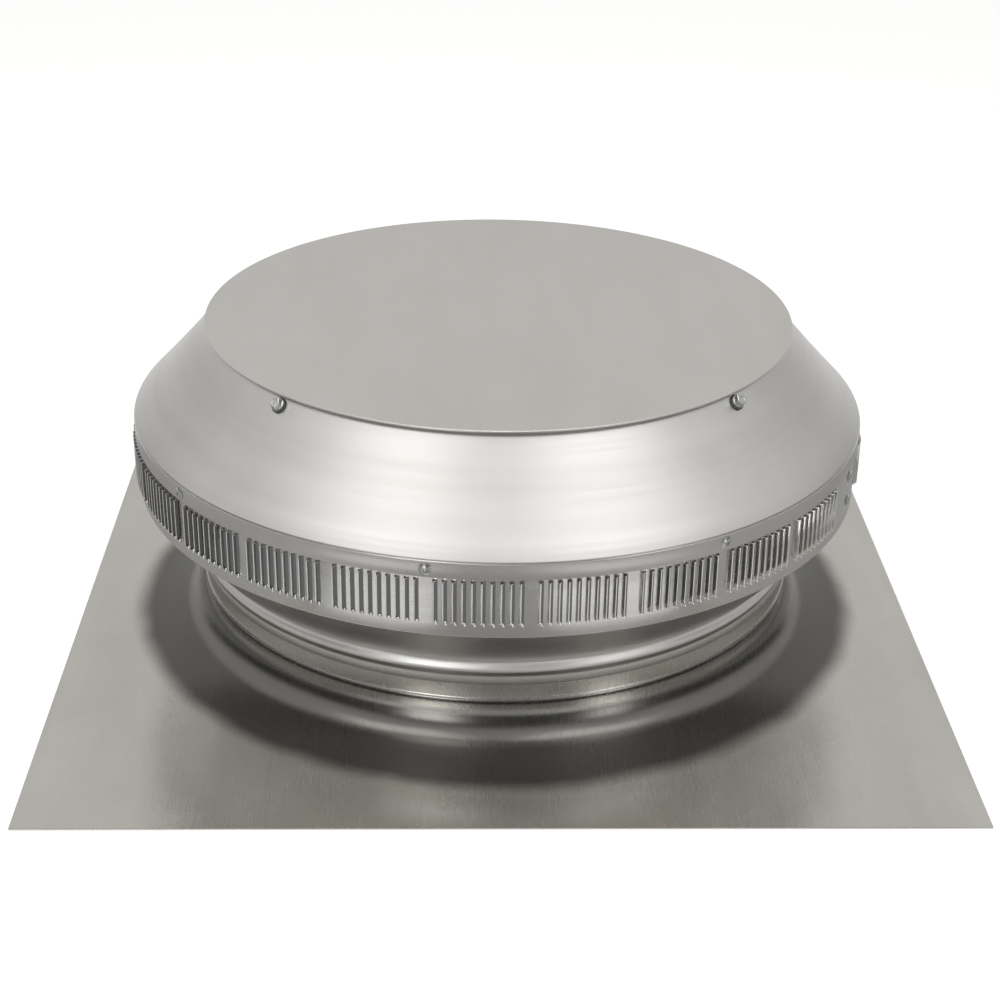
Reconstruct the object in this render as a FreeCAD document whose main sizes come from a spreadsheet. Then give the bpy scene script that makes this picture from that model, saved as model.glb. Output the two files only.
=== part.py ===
import FreeCAD, Part
import math
import os
import re

import Sketcher
from FreeCAD import Placement, Rotation, Vector

# Static louvered roof vent.
# A square flashing with a spun collar carries a round head: a conical pan, a lanced
# louver band, a conical hood and a flat cap disc. Heights are measured from the
# underside of the flashing, and angles round the vent start at the front, which is -Y,
# and grow towards +X.

doc = FreeCAD.newDocument("roof_vent")

# Driving dimensions, in millimetres and degrees

SIZES = (
    ("flange_side", 711.2, "side of the square flashing"),
    ("flashing_sheet", 1.2, "sheet of the flashing"),
    ("collar_radius", 250.9, "outside of the flashing's collar"),
    ("collar_height", 72.0, "top of the collar"),
    ("bend_radius", 30.0, "tight part of the sweep at the collar's foot"),
    ("rise_radius", 130.0, "gentle part of that sweep, where the flashing starts to rise"),
    ("rise_angle", 22.0, "slope at which the gentle part passes into the tight part"),
    ("water_bead_height", 42.5, "middle of the small bead round the collar"),
    ("water_bead_width", 6.0, "width of that bead"),
    ("water_bead_depth", 1.4, "how far that bead stands out"),
    ("fit_clearance", 0.3, "gap between sheets that slip over each other"),
    ("seat_gap", 0.1, "gap between faces that rest on each other"),
    ("pan_sheet", 1.2, "sheet of the lower pan"),
    ("pan_slope", 49.0, "slope of the lower pan from level"),
    ("skirt_overlap", 14.5, "how far the pan's skirt comes down over the collar"),
    ("foot_rise", 5.2, "height of the pan's foot over the collar's top"),
    ("lock_bead_width", 13.0, "width of the bead that locks skirt and collar"),
    ("lock_bead_depth", 1.8, "how far the locking bead stands out"),
    ("lip_height", 5.5, "upturned lip of the pan inside the band"),
    ("band_radius", 301.0, "outside of the louver band"),
    ("band_sheet", 1.0, "sheet of the louver band"),
    ("hem_width", 4.0, "band's lower edge folded in under the pan"),
    ("band_tuck", 2.5, "top of the band below the hood's bend"),
    ("slot_margin", 10.8, "plain strip of the band under the louvers"),
    ("slot_length", 35.5, "height of a louver"),
    ("slot_width", 3.9, "width of a louver's opening"),
    ("slots_per_panel", 10, "louvers in one panel"),
    ("panel_pitches", 25, "panel pitches round the band, one of them plain"),
    ("lap_blank", 4, "plain strips from the front to the plain panel"),
    ("first_blank", 3.5, "angle of the plain strip nearest the front"),
    ("vane_reach", 3.4, "how far a louver's vane stands out"),
    ("vane_sheet", 0.8, "thickness of a vane"),
    ("vane_angle", 70.0, "angle of a vane from the band"),
    ("lance_gap", 0.3, "cut between a vane's end and its window"),
    ("vane_taper", 3.0, "height of a vane's sloped end"),
    ("lap_width", 19.0, "overlap of the band's two ends"),
    ("lap_rivet_inset", 7.0, "lap's rivets in from the louvers' ends"),
    ("rim_gap", 1.5, "gap from the louvers' tops to the hood's rim"),
    ("rim_height", 13.5, "upright rim of the hood"),
    ("rim_bend", 2.2, "length of the bend's two legs between the hood's rim and slope"),
    ("hood_sheet", 1.2, "sheet of the hood"),
    ("hood_slope", 47.5, "slope of the hood from level"),
    ("cap_radius", 241.3, "radius of the cap disc"),
    ("cap_sheet", 1.05, "sheet of the cap disc"),
    ("cap_hem", 6.0, "width of the hem under the cap's edge"),
    ("cap_overhang", 5.3, "overhang of the cap past the hood's mouth"),
    ("bracket_count", 4, "brackets under the cap"),
    ("bracket_angle", 46.5, "angle of the first bracket"),
    ("bracket_sheet", 1.2, "sheet of a bracket"),
    ("bracket_width", 22.0, "width of a bracket"),
    ("bracket_leg", 24.0, "length of a bracket's two legs"),
    ("screw_setback", 9.5, "cap screw's distance down the slope from the mouth"),
    ("screw_radius", 2.4, "shank of a cap screw"),
    ("screw_length", 14.0, "shank of a cap screw under its head"),
    ("screw_flats", 7.9, "width of the hexagon across its flats"),
    ("screw_head", 4.0, "height of the hexagon"),
    ("screw_flange", 5.2, "radius of the flange under the hexagon"),
    ("flange_thickness", 0.9, "thickness of that flange"),
    ("washer_radius", 6.0, "sealing washer under a cap screw"),
    ("washer_thickness", 1.5, "thickness of the sealing washer"),
    ("rivet_count", 8, "rivets round the hood's rim"),
    ("rivet_panels", 3, "panel pitches from one rim rivet to the next"),
    ("rivet_start", 4, "plain strips back from the front to the first rim rivet"),
    ("rivet_radius", 2.4, "shank of a rivet"),
    ("rivet_head", 4.75, "radius of a rivet's head"),
    ("rivet_dome", 1.6, "height of a rivet's head"),
    ("rivet_tail", 3.4, "radius of a rivet's set end"),
    ("rivet_tail_length", 3.0, "length of a rivet's set end"),
    ("hole_clearance", 0.1, "gap between a shank and its hole"),
)

sheet = doc.addObject("Spreadsheet::Sheet", "sizes")
for row, (alias, number, meaning) in enumerate(SIZES, start=1):
    sheet.set(f"A{row}", meaning)
    sheet.set(f"B{row}", str(number))
    sheet.setAlias(f"B{row}", alias)
doc.recompute()

ALIASES = {alias for alias, number, meaning in SIZES}


def bound(text):
    """The expression for a size or a sum of sizes, in the words of the sheet."""
    return re.sub(
        r"[a-z_]+",
        lambda word: "sizes." + word[0] if word[0] in ALIASES else word[0],
        text,
    )


def value(text):
    """The number that an expression in the words of the sheet gives now."""
    result = sheet.evalExpression(bound(text))
    return float(getattr(result, "Value", result))


# Heights and radii worked out from the driving dimensions, as expressions

SWEEP_END = "(collar_radius + bend_radius + (rise_radius - bend_radius) * sin(rise_angle))"
SWEEP_TOP = (
    "(flashing_sheet + rise_radius * (1 - cos(rise_angle)) + bend_radius * cos(rise_angle))"
)
SKIRT_RADIUS = "(collar_radius + fit_clearance + pan_sheet)"
PAN_RADIUS = "(band_radius - band_sheet - fit_clearance)"
HOOD_RADIUS = "(band_radius + fit_clearance + hood_sheet)"
MOUTH_RADIUS = "(cap_radius - cap_overhang)"
SKIRT_BOTTOM = "(collar_height - skirt_overlap)"
FOOT = "(collar_height + foot_rise)"
PAN_RIM = f"({FOOT} + ({PAN_RADIUS} - {SKIRT_RADIUS}) * tan(pan_slope))"
HEM_TOP = (
    f"({PAN_RIM} - (hem_width - band_sheet - fit_clearance) * tan(pan_slope)"
    " - fit_clearance)"
)
BAND_BOTTOM = f"({HEM_TOP} - band_sheet)"
SLOT_BOTTOM = f"({BAND_BOTTOM} + slot_margin)"
SLOT_TOP = f"({SLOT_BOTTOM} + slot_length)"
RIM_BOTTOM = f"({SLOT_TOP} + rim_gap)"
RIM_TOP = f"({RIM_BOTTOM} + rim_height)"
BAND_TOP = f"({RIM_TOP} - band_tuck)"
RIVET_HEIGHT = f"({RIM_BOTTOM} + rim_height / 2)"
MOUTH = f"({RIM_TOP} + ({HOOD_RADIUS} - {MOUTH_RADIUS}) * tan(hood_slope))"
HEM_BOTTOM = f"({MOUTH} + seat_gap)"
CAP_TOP = f"({HEM_BOTTOM} + 2 * cap_sheet)"
PANEL_STEP = "(360 / panel_pitches)"
SLOT_STEP = f"({PANEL_STEP} / (slots_per_panel + 1))"
BRACKET_STEP = "(360 / bracket_count)"
RIVET_STEP = f"(rivet_panels * {PANEL_STEP})"
RIVET_START = f"(first_blank - rivet_start * {PANEL_STEP})"
RIVET_HOLE = "(rivet_radius + hole_clearance)"
SCREW_HOLE = "(screw_radius + hole_clearance)"
SCREW_RADIAL = f"({MOUTH_RADIUS} + screw_setback * cos(hood_slope))"
SCREW_HEIGHT = f"({MOUTH} - screw_setback * sin(hood_slope))"
LAP_MIDDLE = f"(first_blank + {PANEL_STEP} * (lap_blank + 1 / 2))"
LAP_BOTTOM = f"({PAN_RIM} + lip_height + fit_clearance)"
LAP_RIVET_HEIGHTS = (f"({SLOT_BOTTOM} + lap_rivet_inset)", f"({SLOT_TOP} - lap_rivet_inset)")


def origin_plane(body, role):
    """One of the body's own origin planes."""
    return next(f for f in body.Origin.OriginFeatures if f.Role == role)


def new_body(label):
    """An empty body that becomes one sub-part."""
    body = doc.addObject("PartDesign::Body", label)
    body.Label = label
    return body


def outline_sketch(body, name, plane, corners, arcs=None):
    """A closed outline whose corners and arc radii are bound to the sheet.

    Each corner is a pair of expressions. arcs maps the index of a corner to the arc
    that leaves it for the next one: its radius and its centre, as expressions.
    """
    arcs = arcs or {}
    sketch = body.newObject("Sketcher::SketchObject", name)
    sketch.AttachmentSupport = (origin_plane(body, plane), [""])
    sketch.MapMode = "FlatFace"
    points = [Vector(value(across), value(up), 0) for across, up in corners]
    starts = []
    ends = []
    for index, start in enumerate(points):
        end = points[(index + 1) % len(points)]
        if index not in arcs:
            edge = sketch.addGeometry(Part.LineSegment(start, end))
            starts.append((edge, 1))
            ends.append((edge, 2))
            continue
        radius, centre_across, centre_up = arcs[index]
        centre = Vector(value(centre_across), value(centre_up), 0)
        from_angle = math.atan2(start.y - centre.y, start.x - centre.x)
        to_angle = math.atan2(end.y - centre.y, end.x - centre.x)
        forward = (to_angle - from_angle) % (2 * math.pi) < math.pi
        circle = Part.Circle(centre, Vector(0, 0, 1), value(radius))
        if forward:
            arc = Part.ArcOfCircle(circle, from_angle, to_angle)
        else:
            arc = Part.ArcOfCircle(circle, to_angle, from_angle)
        edge = sketch.addGeometry(arc)
        starts.append((edge, 1 if forward else 2))
        ends.append((edge, 2 if forward else 1))
        held = sketch.addConstraint(Sketcher.Constraint("Radius", edge, value(radius)))
        sketch.setExpression(f"Constraints[{held}]", bound(radius))
    for index, (across, up) in enumerate(corners):
        edge, end = starts[index]
        sketch.addConstraint(Sketcher.Constraint("Coincident", *ends[index - 1], edge, end))
        for kind, text in (("DistanceX", across), ("DistanceY", up)):
            held = sketch.addConstraint(Sketcher.Constraint(kind, -1, 1, edge, end, value(text)))
            sketch.setExpression(f"Constraints[{held}]", bound(text))
    doc.recompute()
    return sketch


def spun(body, name, sketch, angle="360"):
    """The outline turned about the vent's axis, a full turn unless told otherwise."""
    turned = body.newObject("PartDesign::Revolution", name)
    turned.Profile = sketch
    turned.ReferenceAxis = (sketch, ["V_Axis"])
    turned.setExpression("Angle", bound(angle))
    doc.recompute()
    return turned


def angle_round(text):
    """A turn about the vent's axis, by an angle given as an expression."""
    return Rotation(Vector(0, 0, 1), value(text))


def facing(height, radial, lean):
    """The placement on the front of the vent whose Z leans out from upright by lean."""
    spot = Vector(0, -value(radial), value(height))
    return Placement(spot, Rotation(Vector(1, 0, 0), value(lean)))


def drill(body, name, radius, length, height, radial, lean):
    """A round hole through a wall at the front, from length outside to length inside."""
    hole = body.newObject("PartDesign::SubtractiveCylinder", name)
    hole.MapMode = "Deactivated"
    hole.setExpression("Radius", bound(radius))
    hole.setExpression("Height", bound(f"2 * ({length})"))
    hole.Placement = facing(height, radial, lean).multiply(
        Placement(Vector(0, 0, -value(length)), Rotation())
    )
    doc.recompute()
    return hole


def repeat(body, name, features, count, step):
    """Copies of the features round the axis, a step apart."""
    pattern = body.newObject("PartDesign::PolarPattern", name)
    pattern.Originals = features
    pattern.Axis = (origin_plane(body, "Z_Axis"), [""])
    pattern.setExpression("Occurrences", bound(count))
    pattern.setExpression("Angle", bound(f"({step}) * ({count} - 1)"))
    body.Tip = pattern
    doc.recompute()
    return pattern


def bead_corners(radial, low, high, depth):
    """The four corners of a rolled bead on an upright wall, from its lower end up."""
    slope = f"(({high}) - ({low})) / 3"
    return [
        (radial, low),
        (f"{radial} + {depth}", f"{low} + {slope}"),
        (f"{radial} + {depth}", f"{high} - {slope}"),
        (radial, high),
    ]


# Base flashing: a square plate that rises gently and then turns up into a round collar

def sweep_join(radius):
    """Where the gentle and the tight part of the sweep meet, on the face of that radius."""
    return (
        f"{SWEEP_END} - {radius} * sin(rise_angle)",
        f"flashing_sheet + rise_radius - {radius} * cos(rise_angle)",
    )


def make_base_flashing():
    body = new_body("base_flashing")
    plate = body.newObject("Sketcher::SketchObject", "plate_outline")
    plate.AttachmentSupport = (origin_plane(body, "XY_Plane"), [""])
    plate.MapMode = "FlatFace"
    half = value("flange_side / 2")
    corners = [
        Vector(-half, -half, 0),
        Vector(half, -half, 0),
        Vector(half, half, 0),
        Vector(-half, half, 0),
    ]
    for index in range(4):
        plate.addGeometry(Part.LineSegment(corners[index], corners[(index + 1) % 4]))
    for index in range(4):
        plate.addConstraint(Sketcher.Constraint("Coincident", index, 2, (index + 1) % 4, 1))
    signs = ((-1, -1), (1, -1), (1, 1), (-1, 1))
    for index, (side, front) in enumerate(signs):
        for kind, sign in (("DistanceX", side), ("DistanceY", front)):
            held = plate.addConstraint(Sketcher.Constraint(kind, -1, 1, index, 1, sign * half))
            plate.setExpression(f"Constraints[{held}]", bound(f"{sign} * flange_side / 2"))
    hole = plate.addGeometry(Part.Circle(Vector(0, 0, 0), Vector(0, 0, 1), value(SWEEP_END)))
    plate.addConstraint(Sketcher.Constraint("Coincident", hole, 3, -1, 1))
    held = plate.addConstraint(Sketcher.Constraint("Radius", hole, value(SWEEP_END)))
    plate.setExpression(f"Constraints[{held}]", bound(SWEEP_END))
    doc.recompute()

    pad = body.newObject("PartDesign::Pad", "plate")
    pad.Profile = plate
    pad.setExpression("Length", bound("flashing_sheet"))
    doc.recompute()

    inside = "collar_radius - flashing_sheet"
    bend_middle = "collar_radius + bend_radius"
    rise_middle = "flashing_sheet + rise_radius"
    under_rise = "(rise_radius + flashing_sheet)"
    under_bend = "(bend_radius + flashing_sheet)"
    low = "(water_bead_height - water_bead_width / 2)"
    high = "(water_bead_height + water_bead_width / 2)"
    bead_inside = bead_corners(inside, low, high, "water_bead_depth")
    bead_outside = bead_corners("collar_radius", low, high, "water_bead_depth")
    lock_low = f"({FOOT} - lock_bead_width)"
    corners = [
        (SWEEP_END, "0"),
        sweep_join(under_rise),
        (inside, SWEEP_TOP),
        *bead_inside,
        (inside, lock_low),
        (f"{inside} + lock_bead_depth", "collar_height"),
        ("collar_radius + lock_bead_depth", "collar_height"),
        ("collar_radius", lock_low),
        *reversed(bead_outside),
        ("collar_radius", SWEEP_TOP),
        sweep_join("rise_radius"),
        (SWEEP_END, "flashing_sheet"),
    ]
    arcs = {
        0: (under_rise, SWEEP_END, rise_middle),
        1: (under_bend, bend_middle, SWEEP_TOP),
        len(corners) - 3: ("bend_radius", bend_middle, SWEEP_TOP),
        len(corners) - 2: ("rise_radius", SWEEP_END, rise_middle),
    }
    collar = outline_sketch(body, "collar_section", "XZ_Plane", corners, arcs)
    spun(body, "collar", collar)
    return body


# Lower pan: skirt over the collar, cone up and out, lip inside the band

def make_lower_pan():
    body = new_body("lower_pan")
    drop = "pan_sheet * tan((90 - pan_slope) / 2)"
    inner_skirt = f"({SKIRT_RADIUS} - pan_sheet)"
    inner_rim = f"({PAN_RADIUS} - pan_sheet)"
    bead_low = f"({FOOT} - lock_bead_width)"
    lip_top = f"({PAN_RIM} + lip_height)"
    bead_outside = bead_corners(SKIRT_RADIUS, bead_low, FOOT, "lock_bead_depth")
    bead_inside = bead_corners(inner_skirt, bead_low, f"({FOOT} + {drop})", "lock_bead_depth")
    corners = [
        (SKIRT_RADIUS, SKIRT_BOTTOM),
        *bead_outside,
        (PAN_RADIUS, PAN_RIM),
        (PAN_RADIUS, lip_top),
        (inner_rim, lip_top),
        (inner_rim, f"{PAN_RIM} + {drop}"),
        *reversed(bead_inside),
        (inner_skirt, SKIRT_BOTTOM),
    ]
    section = outline_sketch(body, "pan_section", "XZ_Plane", corners)
    spun(body, "pan", section)
    return body


# Louver band: one lanced strip bent into a ring, hemmed under the pan

def louver_window():
    """The block of air that one lanced opening leaves in the strip."""
    return Part.makeBox(
        value("slot_width"),
        value("4 * band_sheet"),
        value("slot_length"),
        Vector(-value("slot_width / 2"), -value("band_radius + 2 * band_sheet"), value(SLOT_BOTTOM)),
    )


def louver_vane():
    """One vane: a leaf hinged in the strip on its window's left edge, with sloped ends."""
    hinge = Vector(-value("slot_width / 2"), -value("band_radius - band_sheet / 2"), 0)
    lean = math.radians(value("vane_angle"))
    out = Vector(math.cos(lean), -math.sin(lean), 0)
    back = Vector(-math.sin(lean), -math.cos(lean), 0)
    reach = out * value("vane_reach")
    low = Vector(0, 0, value(f"{SLOT_BOTTOM} + lance_gap"))
    high = Vector(0, 0, value(f"{SLOT_TOP} - lance_gap"))
    taper = Vector(0, 0, value("vane_taper"))
    outline = Part.makePolygon(
        [
            hinge + low,
            hinge + reach + low + taper,
            hinge + reach + high - taper,
            hinge + high,
            hinge + low,
        ]
    )
    return Part.Face(outline).extrude(back * value("vane_sheet"))


def add_lap(body):
    """The band's inner end, lapped behind its outer end, with the holes for its rivets."""
    outer = "(band_radius - band_sheet / 2)"
    inner = "(band_radius - 2 * band_sheet)"
    across = "(lap_width / 2)"
    corners = [
        (across, f"-{outer}"),
        (across, f"-{inner}"),
        (f"-{across}", f"-{inner}"),
        (f"-{across}", f"-{outer}"),
    ]
    sketch = outline_sketch(body, "lap_outline", "XY_Plane", corners)
    sketch.setExpression("AttachmentOffset.Base.z", bound(LAP_BOTTOM))
    doc.recompute()
    lap = body.newObject("PartDesign::Pad", "lap")
    lap.Profile = sketch
    lap.setExpression("Length", bound(f"{BAND_TOP} - {LAP_BOTTOM}"))
    doc.recompute()
    for height in LAP_RIVET_HEIGHTS:
        drill(body, "lap_rivet_hole", RIVET_HOLE, "3 * band_sheet", height, "band_radius", "90")


def strip_panel(name):
    """One panel's arc of the plain strip, with its middle at the front of the vent."""
    body = new_body(name)
    inside = "band_radius - band_sheet"
    corners = [
        ("band_radius", BAND_TOP),
        ("band_radius", BAND_BOTTOM),
        ("band_radius - hem_width", BAND_BOTTOM),
        ("band_radius - hem_width", HEM_TOP),
        (inside, HEM_TOP),
        (inside, BAND_TOP),
    ]
    section = outline_sketch(body, f"{name}_section", "XZ_Plane", corners)
    start = f"270 - {PANEL_STEP} / 2"
    section.AttachmentOffset = Placement(Vector(), Rotation(Vector(0, 1, 0), value(start)))
    section.setExpression("AttachmentOffset.Rotation.Angle", bound(start))
    doc.recompute()
    spun(body, f"{name}_strip", section, PANEL_STEP)
    return body


def row_of(name, shape, turns):
    """Copies of a shape turned round the vent by each of the angles, in one compound."""
    axis = Vector(0, 0, 1)
    row = doc.addObject("Part::Feature", name)
    row.Shape = Part.makeCompound([shape.rotated(Vector(), axis, turn) for turn in turns])
    return row


def even_turns(first, step, count):
    """Angles from the first one on, a step apart."""
    return [value(first) + value(step) * index for index in range(int(value(count)))]


def make_louver_band():
    slot_turns = even_turns(f"{SLOT_STEP} * (1 - slots_per_panel) / 2", SLOT_STEP, "slots_per_panel")
    lanced = doc.addObject("Part::Cut", "lanced_panel")
    lanced.Base = strip_panel("strip_panel")
    lanced.Tool = row_of("louver_windows", louver_window(), slot_turns)
    lanced.Refine = False
    panel = doc.addObject("Part::Fuse", "louvered_panel")
    panel.Base = lanced
    panel.Tool = row_of("louver_vanes", louver_vane(), slot_turns)
    panel.Refine = False
    plain = strip_panel("plain_panel")
    add_lap(plain)
    doc.recompute()

    # Neighbours touch, so every second panel goes into the same row
    panel_turns = even_turns("0", PANEL_STEP, "panel_pitches")
    odd = row_of("odd_panels", panel.Shape, panel_turns[1::2])
    even = row_of("even_panels", panel.Shape, panel_turns[2::2])
    ring = doc.addObject("Part::MultiFuse", "louvered_ring")
    ring.Shapes = [plain, odd, even]
    ring.Refine = False
    doc.recompute()

    hole = Part.makeCylinder(value(RIVET_HOLE), value("8 * band_sheet"))
    hole.Placement = facing(RIVET_HEIGHT, "band_radius + 4 * band_sheet", "-90")
    turns = even_turns(f"{RIVET_START} - {LAP_MIDDLE}", RIVET_STEP, "rivet_count")
    band = doc.addObject("Part::Cut", "louver_band")
    band.Base = ring
    band.Tool = row_of("rim_rivet_holes", hole, turns)
    band.Refine = False
    band.Placement = Placement(Vector(), angle_round(LAP_MIDDLE))
    doc.recompute()
    return band


# Hood: spun slope with an upright rim over the band

def make_hood():
    body = new_body("hood")
    inner_rim = f"({HOOD_RADIUS} - hood_sheet)"
    inner_mouth = f"({MOUTH_RADIUS} - hood_sheet / sin(hood_slope))"
    inner_top = f"({RIM_TOP} - hood_sheet * tan((90 - hood_slope) / 2))"
    corners = [
        (HOOD_RADIUS, RIM_BOTTOM),
        (HOOD_RADIUS, f"{RIM_TOP} - rim_bend"),
        (f"{HOOD_RADIUS} - rim_bend * cos(hood_slope)", f"{RIM_TOP} + rim_bend * sin(hood_slope)"),
        (MOUTH_RADIUS, MOUTH),
        (inner_mouth, MOUTH),
        (f"{inner_rim} - rim_bend * cos(hood_slope)", f"{inner_top} + rim_bend * sin(hood_slope)"),
        (inner_rim, f"{inner_top} - rim_bend"),
        (inner_rim, RIM_BOTTOM),
    ]
    section = outline_sketch(body, "hood_section", "XZ_Plane", corners)
    spun(body, "hood_shell", section)

    wall = "2 * hood_sheet"
    hole = drill(body, "rivet_hole", RIVET_HOLE, wall, RIVET_HEIGHT, HOOD_RADIUS, "90")
    repeat(body, "rivet_holes", [hole], "rivet_count", RIVET_STEP)
    hole = drill(body, "screw_hole", SCREW_HOLE, wall, SCREW_HEIGHT, SCREW_RADIAL, "hood_slope")
    # The body is turned at the end to bring its first rivet round, so the screws turn back
    turn = Placement(Vector(), angle_round(f"bracket_angle - {RIVET_START}"))
    hole.Placement = turn.multiply(hole.Placement)
    repeat(body, "screw_holes", [hole], "bracket_count", BRACKET_STEP)
    body.Placement = Placement(Vector(), angle_round(RIVET_START))
    return body


# Cap disc: flat top with a closed hem under its edge, resting on the hood's mouth

def make_cap_disc():
    body = new_body("cap_disc")
    under = f"{CAP_TOP} - cap_sheet"
    nose = "(cap_sheet / 2)"
    corners = [
        ("0", under),
        ("0", CAP_TOP),
        (f"cap_radius - {nose}", CAP_TOP),
        ("cap_radius", f"{CAP_TOP} - {nose}"),
        ("cap_radius", f"{HEM_BOTTOM} + {nose}"),
        (f"cap_radius - {nose}", HEM_BOTTOM),
        ("cap_radius - cap_hem", HEM_BOTTOM),
        ("cap_radius - cap_hem", under),
    ]
    section = outline_sketch(body, "cap_section", "XZ_Plane", corners)
    spun(body, "cap_plate", section)
    return body


# Cap brackets: bent clips welded under the cap, gripped by the cap screws

def make_cap_bracket(number):
    body = new_body(f"cap_bracket_{number}")
    top = f"({CAP_TOP} - cap_sheet - seat_gap)"
    inset = "(hood_sheet + fit_clearance) / sin(hood_slope)"
    corner = f"({MOUTH_RADIUS} - {inset} - ({top} - {MOUTH}) / tan(hood_slope))"
    inner = f"({corner} - bracket_sheet / sin(hood_slope))"
    down = f"({top} - bracket_leg * sin(hood_slope))"
    low = f"({down} - bracket_sheet * cos(hood_slope))"
    low_radial = f"{corner} + bracket_leg * cos(hood_slope) - bracket_sheet * sin(hood_slope)"
    turn = "bracket_sheet * (1 / sin(hood_slope) - 1 / tan(hood_slope))"
    corners = [
        (f"{corner} - bracket_leg", top),
        (corner, top),
        (f"{corner} + bracket_leg * cos(hood_slope)", down),
        (low_radial, low),
        (f"{corner} - {turn}", f"{top} - bracket_sheet"),
        (f"{corner} - bracket_leg", f"{top} - bracket_sheet"),
    ]
    section = outline_sketch(body, "bracket_section", "XZ_Plane", corners)
    pad = body.newObject("PartDesign::Pad", "bracket")
    pad.Profile = section
    pad.setExpression("Length", bound("bracket_width"))
    pad.Midplane = True
    doc.recompute()
    # The section lies on +X, a quarter turn round from the front
    quarter = Placement(Vector(), Rotation(Vector(0, 0, 1), 90))
    length = "2 * bracket_sheet + hood_sheet"
    hole = drill(body, "screw_hole", SCREW_HOLE, length, SCREW_HEIGHT, SCREW_RADIAL, "hood_slope")
    hole.Placement = quarter.multiply(hole.Placement)
    doc.recompute()
    turn = f"bracket_angle + {BRACKET_STEP} * {number - 1} - 90"
    body.Placement = Placement(Vector(), angle_round(turn))
    return body


# Fasteners, each drawn on the axis and set in its holes as a group

def column(name, kind, **sizes):
    """A primitive solid with its sizes bound to the sheet."""
    solid = doc.addObject(kind, name)
    for key, text in sizes.items():
        solid.setExpression(key, bound(text))
    return solid


def raise_to(solid, height):
    solid.setExpression("Placement.Base.z", bound(height))
    return solid


def joined(name, solids):
    """One solid from several that touch or overlap."""
    whole = doc.addObject("Part::MultiFuse", name)
    whole.Shapes = solids
    whole.Refine = True
    doc.recompute()
    return whole


def group(label, pattern, spots, radial, lean):
    """A node that holds one copy of the pattern at each spot: its angle and height."""
    copies = []
    for angle, height in spots:
        turn = Placement(Vector(), Rotation(Vector(0, 0, 1), angle))
        place = turn.multiply(facing(height, radial, lean))
        copies.append(pattern.Shape.transformed(place.toMatrix()))
    node = doc.addObject("Part::Feature", label)
    node.Label = label
    node.Shape = Part.makeCompound(copies)
    return node


def screw_spots():
    """Where the cap screws sit: one at each bracket."""
    return [(turn, SCREW_HEIGHT) for turn in even_turns("bracket_angle", BRACKET_STEP, "bracket_count")]


def make_cap_screws():
    hexagon = column(
        "screw_hexagon", "Part::Prism", Circumradius="screw_flats / sqrt(3)", Height="screw_head"
    )
    hexagon.Polygon = 6
    raise_to(hexagon, "seat_gap * 2 + washer_thickness + flange_thickness")
    flange = column(
        "screw_flange_disc", "Part::Cylinder", Radius="screw_flange", Height="flange_thickness"
    )
    raise_to(flange, "seat_gap * 2 + washer_thickness")
    shank = column("screw_shank", "Part::Cylinder", Radius="screw_radius", Height="screw_length")
    raise_to(shank, "seat_gap * 2 + washer_thickness - screw_length")
    screw = joined("cap_screw", [hexagon, flange, shank])
    return group("cap_screws", screw, screw_spots(), SCREW_RADIAL, "hood_slope")


def make_seal_washers():
    disc = column("washer_disc", "Part::Cylinder", Radius="washer_radius", Height="washer_thickness")
    raise_to(disc, "seat_gap")
    bore = column("washer_bore", "Part::Cylinder", Radius=SCREW_HOLE, Height="washer_thickness * 2")
    washer = doc.addObject("Part::Cut", "washer")
    washer.Base = disc
    washer.Tool = bore
    doc.recompute()
    return group("cap_screw_washers", washer, screw_spots(), SCREW_RADIAL, "hood_slope")


def rivet_pattern(name, grip):
    """A dome-headed blind rivet through walls that are grip thick in all."""
    crown = "rivet_head * 0.45"
    dome = column(
        f"{name}_dome", "Part::Cone", Radius1="rivet_head", Radius2=crown, Height="rivet_dome"
    )
    raise_to(dome, "seat_gap")
    shank = column(
        f"{name}_shank", "Part::Cylinder", Radius="rivet_radius", Height=f"{grip} + 3 * seat_gap"
    )
    raise_to(shank, f"-({grip} + seat_gap)")
    tail = column(
        f"{name}_tail", "Part::Cylinder", Radius="rivet_tail", Height="rivet_tail_length"
    )
    raise_to(tail, f"-({grip} + seat_gap + rivet_tail_length)")
    return joined(name, [dome, shank, tail])


def make_rim_rivets():
    rivet = rivet_pattern("rim_rivet", "hood_sheet + fit_clearance + band_sheet")
    spots = [(turn, RIVET_HEIGHT) for turn in even_turns(RIVET_START, RIVET_STEP, "rivet_count")]
    return group("rim_rivets", rivet, spots, HOOD_RADIUS, "90")


def make_lap_rivets():
    rivet = rivet_pattern("lap_rivet", "2 * band_sheet")
    spots = [(value(LAP_MIDDLE), height) for height in LAP_RIVET_HEIGHTS]
    return group("band_lap_rivets", rivet, spots, "band_radius", "90")


SUB_PARTS = [
    make_base_flashing(),
    make_lower_pan(),
    make_louver_band(),
    make_hood(),
    make_cap_disc(),
    *(make_cap_bracket(number) for number in range(1, int(value("bracket_count")) + 1)),
    make_cap_screws(),
    make_seal_washers(),
    make_rim_rivets(),
    make_lap_rivets(),
]

doc.recompute()
for item in doc.Objects:
    if "Invalid" in item.State or "Error" in item.State:
        raise SystemExit(f"{item.Name} failed: {item.State}")
for part in SUB_PARTS:
    if part.Shape.isNull() or not part.Shape.isValid():
        raise SystemExit(f"{part.Label} has no valid shape")

os.makedirs("parts", exist_ok=True)
for part in SUB_PARTS:
    part.Shape.exportStep(f"parts/{part.Label}.step")
    print(f"{part.Label}: {len(part.Shape.Solids)} solids, {part.Shape.Volume / 1000:.1f} cm3")
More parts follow.
